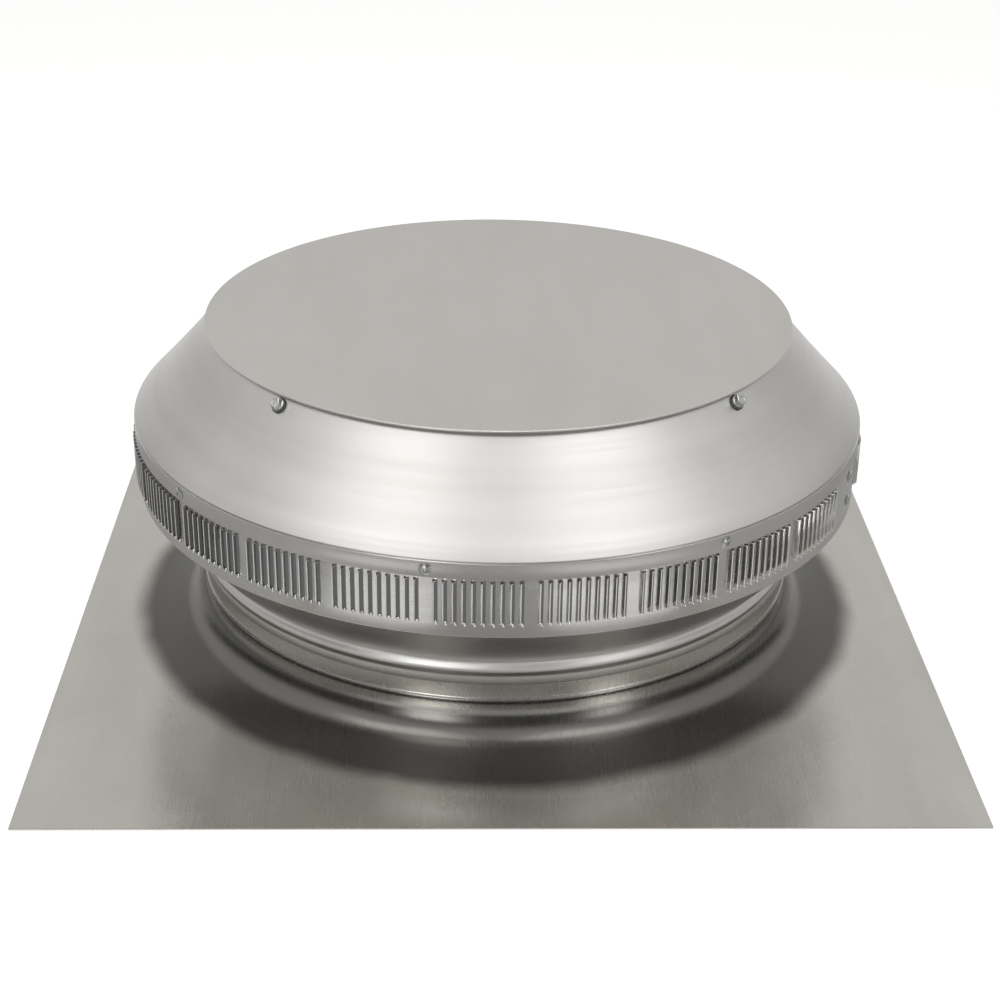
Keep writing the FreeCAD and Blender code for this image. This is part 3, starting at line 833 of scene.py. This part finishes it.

# %% [markdown]
# ## Finishes
#
# Mill-finish aluminium is bright but not polished: rolling or turning leaves fine parallel lines,
# handling leaves faint smears, and both show mainly in how sharply the metal reflects. So the colour
# hardly changes while the roughness and the normal do. Turning lines, rolling lines, handling and a
# painted shade are shared by the metals, and each is a node group that puts out masks.

# %% Node helpers
def new_group(name, inputs, outputs):
    """An empty shader group with float inputs (name, value) and float outputs."""
    group = bpy.data.node_groups.new(name, "ShaderNodeTree")
    for title, number in inputs:
        socket = group.interface.new_socket(title, in_out="INPUT", socket_type="NodeSocketFloat")
        socket.default_value = number
    for title in outputs:
        group.interface.new_socket(title, in_out="OUTPUT", socket_type="NodeSocketFloat")
    source = group.nodes.new("NodeGroupInput")
    sink = group.nodes.new("NodeGroupOutput")
    return group, source, sink


def feed(tree, socket, side):
    """Sets a socket to a number or links it to another socket."""
    if isinstance(side, (int, float)):
        socket.default_value = side
    else:
        tree.links.new(side, socket)


def math_node(tree, operation, first, second=0.0):
    """A Math node; each side is a number or a socket."""
    node = tree.nodes.new("ShaderNodeMath")
    node.operation = operation
    for socket, side in zip(node.inputs, (first, second)):
        feed(tree, socket, side)
    return node.outputs[0]


def scaled(tree, first, second):
    """The product of two numbers or sockets."""
    return math_node(tree, "MULTIPLY", first, second)


# %% Noise, vectors and soft steps
def noise_node(tree, vector, scale, detail, roughness=0.5):
    """A noise texture's factor, with a scale that is a number or a socket."""
    node = tree.nodes.new("ShaderNodeTexNoise")
    node.inputs["Detail"].default_value = detail
    node.inputs["Roughness"].default_value = roughness
    tree.links.new(vector, node.inputs["Vector"])
    feed(tree, node.inputs["Scale"], scale)
    return node.outputs["Fac"]


def combined(tree, across, along, up):
    """A vector of three numbers or sockets."""
    node = tree.nodes.new("ShaderNodeCombineXYZ")
    for socket, side in zip(node.inputs, (across, along, up)):
        feed(tree, socket, side)
    return node.outputs[0]


def split(tree, vector):
    """The three parts of a vector socket."""
    node = tree.nodes.new("ShaderNodeSeparateXYZ")
    tree.links.new(vector, node.inputs[0])
    return node.outputs


def smooth_step(tree, value, start, end, first=0.0, last=1.0):
    """A value carried softly from first at start to last at end."""
    node = tree.nodes.new("ShaderNodeMapRange")
    node.interpolation_type = "SMOOTHSTEP"
    names = ("Value", "From Min", "From Max", "To Min", "To Max")
    for name, side in zip(names, (value, start, end, first, last)):
        feed(tree, node.inputs[name], side)
    return node.outputs["Result"]


def distance_from_axis(tree, x, y):
    """The radius of a point round the vent's axis."""
    squares = math_node(tree, "ADD", math_node(tree, "POWER", x, 2.0), math_node(tree, "POWER", y, 2.0))
    return math_node(tree, "SQRT", squares)


# %% [markdown]
# Turning lines run round the vent at one radius and one height. Their pattern therefore
# changes quickly with radius and height and slowly with the angle. The angle is fed in as
# a sine and a cosine, so the pattern closes on itself with no seam at the back.

# %% Turning lines
def make_turning_lines():
    inputs = (("Lines per Metre", 300.0), ("Drift", 0.6))
    group, source, sink = new_group("turning_lines", inputs, ("Lines", "Bands"))
    place = group.nodes.new("ShaderNodeTexCoord")
    x, y, z = split(group, place.outputs["Object"])
    radius = distance_from_axis(group, x, y)
    along = math_node(group, "SUBTRACT", radius, z)
    never_zero = math_node(group, "MAXIMUM", radius, 0.001)
    sine = math_node(group, "DIVIDE", x, never_zero)
    cosine = math_node(group, "DIVIDE", y, never_zero)
    drift_x = scaled(group, sine, source.outputs["Drift"])
    drift_y = scaled(group, cosine, source.outputs["Drift"])
    fine = scaled(group, along, source.outputs["Lines per Metre"])
    lines = noise_node(group, combined(group, drift_x, drift_y, fine), 1.0, 3.0, 0.65)
    coarse = scaled(group, fine, 0.12)
    bands = noise_node(group, combined(group, drift_x, drift_y, coarse), 1.0, 2.0)
    group.links.new(lines, sink.inputs["Lines"])
    group.links.new(bands, sink.inputs["Bands"])
    return group


# %% [markdown]
# Rolled sheet has its lines in one straight direction, and they are much finer.

# %% Rolling lines
def make_rolling_lines():
    inputs = (("Lines per Metre", 500.0), ("Stretch", 0.02))
    group, source, sink = new_group("rolling_lines", inputs, ("Lines", "Bands"))
    place = group.nodes.new("ShaderNodeTexCoord")
    x, y, z = split(group, place.outputs["Object"])
    across = scaled(group, x, source.outputs["Lines per Metre"])
    long_way = scaled(group, y, source.outputs["Lines per Metre"])
    long_way = scaled(group, long_way, source.outputs["Stretch"])
    up = scaled(group, z, 40.0)
    lines = noise_node(group, combined(group, across, long_way, up), 1.0, 3.0, 0.6)
    coarse = scaled(group, across, 0.05)
    coarse_long = scaled(group, long_way, 0.4)
    bands = noise_node(group, combined(group, coarse, coarse_long, up), 1.0, 2.0)
    group.links.new(lines, sink.inputs["Lines"])
    group.links.new(bands, sink.inputs["Bands"])
    return group


# %% [markdown]
# Handling leaves soft smears a hand wide, and a scatter of fine specks of dust.

# %% Smears and specks
def make_handling():
    inputs = (("Smears per Metre", 9.0), ("Specks per Metre", 420.0))
    group, source, sink = new_group("handling", inputs, ("Smears", "Specks"))
    place = group.nodes.new("ShaderNodeTexCoord")
    vector = place.outputs["Object"]
    smears = noise_node(group, vector, source.outputs["Smears per Metre"], 4.0, 0.6)
    dust = noise_node(group, vector, source.outputs["Specks per Metre"], 1.0)
    above = math_node(group, "SUBTRACT", dust, 0.72)
    specks = scaled(group, math_node(group, "MAXIMUM", above, 0.0), 8.0)
    group.links.new(smears, sink.inputs["Smears"])
    group.links.new(math_node(group, "MINIMUM", specks, 1.0), sink.inputs["Specks"])
    return group


# %% [markdown]
# The head shades the flashing round the collar, and that shade is painted into the colour: the upper
# face is made darker near the collar. This painted shade is a little weaker on the tight bend at the
# collar than on the rise round it. It fades out with the radius, a little unevenly. Its radii are
# counted from the collar.

# %% The painted shade round the collar
BEND_START = COLLAR_RADIUS + 0.5 * MM
RISE_START = COLLAR_RADIUS + 14.1 * MM
SHADE_END = COLLAR_RADIUS + 57.1 * MM


def make_painted_shade():
    inputs = (("Outer Radius", SHADE_END), ("Softness", 0.011), ("Share on the Bend", 0.85))
    group, source, sink = new_group("painted_shade_round_collar", inputs, ("Painted Shade",))
    place = group.nodes.new("ShaderNodeTexCoord")
    x, y, _ = split(group, place.outputs["Object"])
    radius = distance_from_axis(group, x, y)
    cloud = noise_node(group, place.outputs["Object"], 14.0, 3.0)
    ragged = scaled(group, math_node(group, "SUBTRACT", cloud, 0.5), 0.012)
    middle = math_node(group, "ADD", source.outputs["Outer Radius"], ragged)
    near = math_node(group, "SUBTRACT", middle, source.outputs["Softness"])
    far = math_node(group, "ADD", middle, source.outputs["Softness"])
    faded = smooth_step(group, radius, far, near)

    def past(start, per_metre):
        """How far the radius has gone past start, from 0 to 1."""
        beyond = math_node(group, "MAXIMUM", math_node(group, "SUBTRACT", radius, start), 0.0)
        return math_node(group, "MINIMUM", scaled(group, beyond, per_metre), 1.0)

    share = source.outputs["Share on the Bend"]
    on_bend = scaled(group, past(BEND_START, 900.0), share)
    on_rise = scaled(group, past(RISE_START, 220.0), math_node(group, "SUBTRACT", 1.0, share))
    shade_weight = math_node(group, "ADD", on_bend, on_rise)
    facing_up = split(group, place.outputs["Normal"])[2]
    upper_side = math_node(group, "GREATER_THAN", facing_up, 0.0)
    # The mask of painted shade: a darker colour on the upper face near the collar.
    painted_shade = scaled(group, scaled(group, faded, shade_weight), upper_side)
    group.links.new(painted_shade, sink.inputs["Painted Shade"])
    return group


# %% The shared effects
GROUPS = {
    "turning": make_turning_lines(),
    "rolling": make_rolling_lines(),
    "handling": make_handling(),
    "painted_shade": make_painted_shade(),
}
print("groups:", sorted(GROUPS))


# %% [markdown]
# Every metal is put together in the same way. The colour is a ramp between two close tones, the
# roughness is a middle value that the lines and smears push up and down, and a Bump node turns the
# lines into a very shallow relief. Spun pieces also stretch their highlights across the lines: that is
# the shader's anisotropy, with its tangent running round the vent. The painted shade only scales the
# colour down, and most metals have none.

# %% The metal recipe
SPECK_ROUGHNESS = 0.12


def metal(name, tones, roughness, spread, lines, relief, anisotropic=0.0, painted_shade=0.0):
    """A metal whose lines come from the group named by lines."""
    material = bpy.data.materials.new(name)
    material.use_nodes = True
    tree = material.node_tree
    shader = tree.nodes["Principled BSDF"]
    shader.inputs["Metallic"].default_value = 1.0
    shader.inputs["Anisotropic"].default_value = anisotropic

    def effect(title):
        """A shared effect placed in this metal."""
        node = tree.nodes.new("ShaderNodeGroup")
        node.node_tree = GROUPS[title]
        return node.outputs

    pattern = effect(lines)
    wear = effect("handling")
    blend = math_node(tree, "ADD", pattern["Bands"], wear["Smears"])
    ramp = tree.nodes.new("ShaderNodeValToRGB")
    for element, position, tone in zip(ramp.color_ramp.elements, (0.35, 0.65), tones):
        element.position = position
        element.color = (*tone, 1)
    tree.links.new(scaled(tree, blend, 0.5), ramp.inputs[0])
    # Painted shade: the colour is scaled down by the painted-shade mask times its share.
    shade_amount = scaled(tree, effect("painted_shade")["Painted Shade"], painted_shade)
    toned = tree.nodes.new("ShaderNodeVectorMath")
    toned.operation = "SCALE"
    tree.links.new(ramp.outputs["Color"], toned.inputs[0])
    tree.links.new(math_node(tree, "SUBTRACT", 1.0, shade_amount), toned.inputs["Scale"])
    tree.links.new(toned.outputs[0], shader.inputs["Base Color"])

    from_lines = scaled(tree, math_node(tree, "SUBTRACT", pattern["Lines"], 0.5), spread)
    from_smears = scaled(tree, math_node(tree, "SUBTRACT", wear["Smears"], 0.5), spread)
    total = math_node(tree, "ADD", math_node(tree, "ADD", from_lines, from_smears), roughness)
    dusty = math_node(tree, "ADD", total, scaled(tree, wear["Specks"], SPECK_ROUGHNESS))
    tree.links.new(dusty, shader.inputs["Roughness"])

    bump = tree.nodes.new("ShaderNodeBump")
    bump.inputs["Strength"].default_value = 1.0
    bump.inputs["Distance"].default_value = relief
    tree.links.new(pattern["Lines"], bump.inputs["Height"])
    tree.links.new(bump.outputs["Normal"], shader.inputs["Normal"])
    if anisotropic:
        tangent = tree.nodes.new("ShaderNodeTangent")
        tangent.direction_type = "RADIAL"
        tangent.axis = "Z"
        tree.links.new(tangent.outputs["Tangent"], shader.inputs["Tangent"])
    return material


def dress(material, *pieces):
    """Gives pieces their material."""
    for piece in pieces:
        piece.data.materials.clear()
        piece.data.materials.append(material)


# %% [markdown]
# The tones are close to each other, as they are on one vent cut from one kind of sheet, but two of them
# are lighter as painted light. The pan's tones are lighter to brighten its cone under the band, and the
# sheared edges and drawn lips are the lightest metal, as a painted highlight. The spun pieces are
# rougher than the rolled ones, and the zinc on the screws is the dullest.

# %% The metals
hood_metal = metal(
    "spun_hood_aluminium_finish",
    ((0.58, 0.565, 0.55), (0.66, 0.65, 0.635)),
    roughness=0.36,
    spread=0.12,
    lines="turning",
    relief=0.000012,
    anisotropic=0.6,
)
# The pan's lighter tones are painted light: they brighten the cone under the band.
lightened_pan_metal = metal(
    "spun_pan_aluminium_painted_light",
    ((0.80, 0.79, 0.77), (0.88, 0.87, 0.85)),
    roughness=0.36,
    spread=0.14,
    lines="turning",
    relief=0.00002,
    anisotropic=0.5,
)
# The flashing's colour carries the painted shade round the collar, under the head.
flashing_metal = metal(
    "flashing_aluminium_finish",
    ((0.54, 0.525, 0.49), (0.61, 0.595, 0.56)),
    roughness=0.26,
    spread=0.14,
    lines="rolling",
    relief=0.000008,
    painted_shade=0.80,
)
strip_metal = metal(
    "louver_aluminium_finish",
    ((0.56, 0.55, 0.53), (0.64, 0.63, 0.61)),
    roughness=0.24,
    spread=0.14,
    lines="turning",
    relief=0.00001,
)
# The cut edges and lips have a much lighter tone: a painted highlight.
highlight_cut_metal = metal(
    "cut_aluminium_painted_highlight",
    ((0.93, 0.93, 0.92), (0.97, 0.97, 0.96)),
    roughness=0.28,
    spread=0.16,
    lines="rolling",
    relief=0.00001,
)
cap_metal = metal(
    "cap_aluminium_finish",
    ((0.60, 0.59, 0.565), (0.64, 0.63, 0.605)),
    roughness=0.42,
    spread=0.10,
    lines="rolling",
    relief=0.000008,
)
bracket_metal = metal(
    "bracket_aluminium_finish",
    ((0.54, 0.53, 0.51), (0.62, 0.61, 0.59)),
    roughness=0.34,
    spread=0.16,
    lines="rolling",
    relief=0.00001,
)
rivet_metal = metal(
    "rivet_aluminium_finish",
    ((0.44, 0.44, 0.43), (0.56, 0.56, 0.54)),
    roughness=0.30,
    spread=0.16,
    lines="rolling",
    relief=0.00001,
)
screw_metal = metal(
    "zinc_plated_steel_finish",
    ((0.50, 0.50, 0.50), (0.62, 0.62, 0.62)),
    roughness=0.42,
    spread=0.22,
    lines="rolling",
    relief=0.00002,
)
dress(hood_metal, hood)
dress(lightened_pan_metal, pan)
dress(flashing_metal, flashing)
dress(strip_metal, strip, upper_edge, hem)
dress(highlight_cut_metal, cut_edges)
dress(cap_metal, cap)
dress(rivet_metal, rim_rivets, lap_rivets)
dress(screw_metal, screws)
brackets = [node for name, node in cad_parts.items() if name.startswith("cap_bracket")]
dress(bracket_metal, *brackets)
print(f"{len(bpy.data.materials)} materials")

# %% [markdown]
# Rubber is the one finish here that isn't metal: dark grey, dull, with a fine grain and
# lighter where it has bloomed.

# %% The rubber
def make_rubber():
    material = bpy.data.materials.new("black_rubber_finish")
    material.use_nodes = True
    tree = material.node_tree
    shader = tree.nodes["Principled BSDF"]
    wear = tree.nodes.new("ShaderNodeGroup")
    wear.node_tree = GROUPS["handling"]
    wear.inputs["Smears per Metre"].default_value = 300.0
    wear.inputs["Specks per Metre"].default_value = 2500.0
    ramp = tree.nodes.new("ShaderNodeValToRGB")
    ramp.color_ramp.elements[0].color = (0.05, 0.05, 0.05, 1)
    ramp.color_ramp.elements[1].color = (0.13, 0.13, 0.125, 1)
    tree.links.new(wear.outputs["Smears"], ramp.inputs[0])
    tree.links.new(ramp.outputs["Color"], shader.inputs["Base Color"])
    rough = math_node(tree, "ADD", scaled(tree, wear.outputs["Smears"], 0.3), 0.5)
    tree.links.new(rough, shader.inputs["Roughness"])
    bump = tree.nodes.new("ShaderNodeBump")
    bump.inputs["Distance"].default_value = 0.00005
    tree.links.new(wear.outputs["Specks"], bump.inputs["Height"])
    tree.links.new(bump.outputs["Normal"], shader.inputs["Normal"])
    return material


dress(make_rubber(), washers)

# %% [markdown]
# ## The studio
#
# Metal shows its surroundings more than its own colour, so the lights are chosen for what
# they leave on the hood: two wide soft boxes high in front give the two bright lobes either
# side of the middle, and a small one overhead fills the middle. Two low boxes in front
# leave the bright patches on the collar's beads.
#
# The floor is white and keeps the vent's soft shadow. Under the flashing it is painted dark, as painted
# shade that stands for the dark roof opening that the louvers and the throat look into. Grey cards lie
# round the vent's front and sides, as a photographer lays them, with two white ones on top: only
# reflections see them, and they keep the upright rim and the louvers from washing out.

# %% Floor and cards
SHADED_FLOOR_RADIUS = 0.30
FLOOR_TONE = 0.90
FLOOR_SHADE_TONE = 0.30
FLOOR_LIFT = 0.36
FLOOR_SHADE_LIFT = 0.10
FLOOR_HALF = 6.0


def flat_sheet(name, corners, height, material_name):
    """A flat sheet of the studio at a height, with a dull white material that can glow."""
    mesh = bpy.data.meshes.new(name)
    mesh.from_pydata([(x, y, 0.0) for x, y in corners], [], [tuple(range(len(corners)))])
    sheet = bpy.data.objects.new(name, mesh)
    bpy.context.scene.collection.objects.link(sheet)
    sheet.location.z = height
    material = bpy.data.materials.new(material_name)
    material.use_nodes = True
    shader = material.node_tree.nodes["Principled BSDF"]
    shader.inputs["Roughness"].default_value = 0.9
    shader.inputs["Specular IOR Level"].default_value = 0.0
    shader.inputs["Emission Color"].default_value = (1, 1, 1, 1)
    mesh.materials.append(material)
    print(f"{name}: {len(corners)} corners")
    return sheet, material.node_tree, shader


def make_floor():
    half = FLOOR_HALF
    corners = [(-half, -half), (half, -half), (half, half), (-half, half)]
    floor, tree, shader = flat_sheet("studio_floor", corners, -0.0005, "pale_floor")
    place = tree.nodes.new("ShaderNodeTexCoord")
    distance = tree.nodes.new("ShaderNodeVectorMath")
    distance.operation = "LENGTH"
    tree.links.new(place.outputs["Object"], distance.inputs[0])
    outside = math_node(tree, "GREATER_THAN", distance.outputs["Value"], SHADED_FLOOR_RADIUS)

    def in_or_out(inner, outer):
        """The inner value over the painted shade under the vent and the outer one round it."""
        return math_node(tree, "ADD", scaled(tree, outside, outer - inner), inner)

    # Painted shade: the floor under the vent is darker, standing for the dark roof opening.
    tree.links.new(in_or_out(FLOOR_SHADE_TONE, FLOOR_TONE), shader.inputs["Base Color"])
    path = tree.nodes.new("ShaderNodeLightPath")
    seen = math_node(tree, "ADD", path.outputs["Is Camera Ray"], path.outputs["Is Glossy Ray"])
    seen_once = math_node(tree, "MINIMUM", seen, 1.0)
    lifted = scaled(tree, seen_once, in_or_out(FLOOR_SHADE_LIFT, FLOOR_LIFT))
    tree.links.new(lifted, shader.inputs["Emission Strength"])


def floor_card(name, corners, tone, height=-0.0003, glow=0.0):
    """A flat card on the floor that only reflections see, lit through from below by glow."""
    card, _, shader = flat_sheet(name, corners, height, name + "_tone")
    shader.inputs["Base Color"].default_value = (tone, tone, tone, 1)
    shader.inputs["Emission Strength"].default_value = glow
    card.visible_camera = False
    card.visible_diffuse = False
    card.visible_shadow = False


make_floor()
floor_card("front_card", [(-0.36, -0.357), (-1.4, -1.7), (1.4, -1.7), (0.36, -0.357)], 0.36)
floor_card("left_card", [(-0.36, -0.357), (-0.36, 0.24), (-1.4, 0.60), (-1.4, -1.7)], 0.46)
floor_card("right_card", [(0.36, -0.357), (1.4, -1.7), (1.4, 0.60), (0.36, 0.24)], 0.46)
right_patch = [
    (0.10, -0.52),
    (0.12, -0.66),
    (0.20, -0.65),
    (0.24, -0.58),
    (0.38, -0.50),
    (0.33, -0.40),
]
left_patch = [(-0.13, -0.50), (-0.15, -0.62), (-0.21, -0.60), (-0.38, -0.50), (-0.33, -0.40)]
floor_card("white_card_right", right_patch, 0.95, height=-0.0002, glow=0.3)
floor_card("white_card_left", left_patch, 0.95, height=-0.0002, glow=0.3)

# %% [markdown]
# The surround is the world. It is pale, but in front and at the sides it is dark below a
# skyline, like a room beyond the lights, and the skyline sinks towards the back. The dark
# is what the sweep round the collar mirrors. The camera itself sees plain white there.

# %% The surround
ROOM_LEVEL = 0.72
ROOM_DARK = 0.64
SKYLINE_AHEAD = 0.62
SKYLINE_FALL = 0.185
SKYLINE_SOFTNESS = 0.08
DARK_UNTIL = (2.15, 2.4)


def make_surround():
    """A pale surround that is dark low down in front and at the sides, like a room."""
    world = bpy.data.worlds.new("studio_surround")
    world.use_nodes = True
    tree = world.node_tree
    place = tree.nodes.new("ShaderNodeTexCoord")
    x, y, z = split(tree, place.outputs["Generated"])
    aside = math_node(tree, "ABSOLUTE", x)
    angle = math_node(tree, "ARCTAN2", aside, scaled(tree, y, -1.0))
    skyline = math_node(tree, "SUBTRACT", SKYLINE_AHEAD, scaled(tree, angle, SKYLINE_FALL))
    over = math_node(tree, "SUBTRACT", z, skyline)
    below = smooth_step(tree, over, -SKYLINE_SOFTNESS, SKYLINE_SOFTNESS, ROOM_DARK, 0.0)
    dark = scaled(tree, below, smooth_step(tree, angle, *DARK_UNTIL, 1.0, 0.0))
    back = tree.nodes["Background"]
    back.inputs["Color"].default_value = (1.0, 0.995, 0.98, 1)
    glow = math_node(tree, "SUBTRACT", ROOM_LEVEL, dark)
    path = tree.nodes.new("ShaderNodeLightPath")
    seen = path.outputs["Is Camera Ray"]
    unseen = math_node(tree, "SUBTRACT", 1.0, seen)
    strength = math_node(tree, "ADD", scaled(tree, glow, unseen), seen)
    tree.links.new(strength, back.inputs["Strength"])
    bpy.context.scene.world = world
    print(f"surround: {len(tree.nodes)} nodes")


make_surround()

# %% [markdown]
# A soft box is an area lamp. Its size sets how soft the edge of its reflection is, and its
# power stays low, so that a colour looks about as it is written.

# %% The soft boxes
BOX_AIM = Vector((0, 0, 0.15))


def soft_box(name, turn, elevation, distance, width, height, power):
    """A soft box that looks at the middle of the vent; turn and elevation are in degrees."""
    lamp_data = bpy.data.lights.new(name, "AREA")
    lamp_data.shape = "RECTANGLE"
    lamp_data.size = width
    lamp_data.size_y = height
    lamp_data.energy = power
    lamp = bpy.data.objects.new(name, lamp_data)
    rise = math.radians(elevation)
    away = distance * math.cos(rise)
    lamp.location = BOX_AIM + around(away, math.radians(turn), distance * math.sin(rise))
    direction = BOX_AIM - lamp.location
    lamp.rotation_euler = direction.to_track_quat("-Z", "Y").to_euler()
    bpy.context.scene.collection.objects.link(lamp)
    print(f"{name}: {power} W")


soft_box("box_left", turn=-44, elevation=56, distance=2.4, width=1.25, height=1.0, power=6.2)
soft_box("box_right", turn=44, elevation=56, distance=2.4, width=1.25, height=1.0, power=6.2)
soft_box("box_top", turn=0, elevation=80, distance=2.2, width=0.5, height=0.5, power=6.0)
soft_box("low_box_left", turn=-22, elevation=8, distance=2.2, width=0.6, height=0.8, power=5.0)
soft_box("low_box_right", turn=38, elevation=8, distance=2.2, width=0.5, height=0.8, power=3.0)

# %% [markdown]
# The camera stands where the photographer stood: about a metre and a half in front of the
# vent and well above it, looking down at the middle. Its turn, pitch and slight roll were
# worked out from the round edges. The lens is a little shorter than the photograph's, so
# that the front edge of the flashing is in the picture too. The perspective is the same,
# because the place alone sets that.

# %% The camera
CAMERA_PLACE = Vector((-37.5, -1480.1, 825.3)) * MM
CAMERA_PITCH = math.radians(26.458)
CAMERA_TURN = math.radians(1.583)
CAMERA_ROLL = math.radians(0.86)
CAMERA_LENS = 68.6


def make_camera():
    lens = bpy.data.cameras.new("studio_camera")
    lens.sensor_width = 36.0
    lens.lens = CAMERA_LENS
    camera = bpy.data.objects.new("studio_camera", lens)
    forward = Vector(
        (
            math.sin(CAMERA_TURN) * math.cos(CAMERA_PITCH),
            math.cos(CAMERA_TURN) * math.cos(CAMERA_PITCH),
            -math.sin(CAMERA_PITCH),
        )
    )
    level = Vector((math.cos(CAMERA_TURN), -math.sin(CAMERA_TURN), 0))
    upward = level.cross(forward)
    right = level * math.cos(CAMERA_ROLL) + upward * math.sin(CAMERA_ROLL)
    top = upward * math.cos(CAMERA_ROLL) - level * math.sin(CAMERA_ROLL)
    turn = Matrix((right, top, -forward)).transposed().to_4x4()
    camera.matrix_world = Matrix.Translation(CAMERA_PLACE) @ turn
    bpy.context.scene.collection.objects.link(camera)
    bpy.context.scene.camera = camera
    print(f"camera {CAMERA_PLACE.length:.2f} m from the vent's foot")


make_camera()
bpy.context.scene.view_settings.view_transform = "Standard"
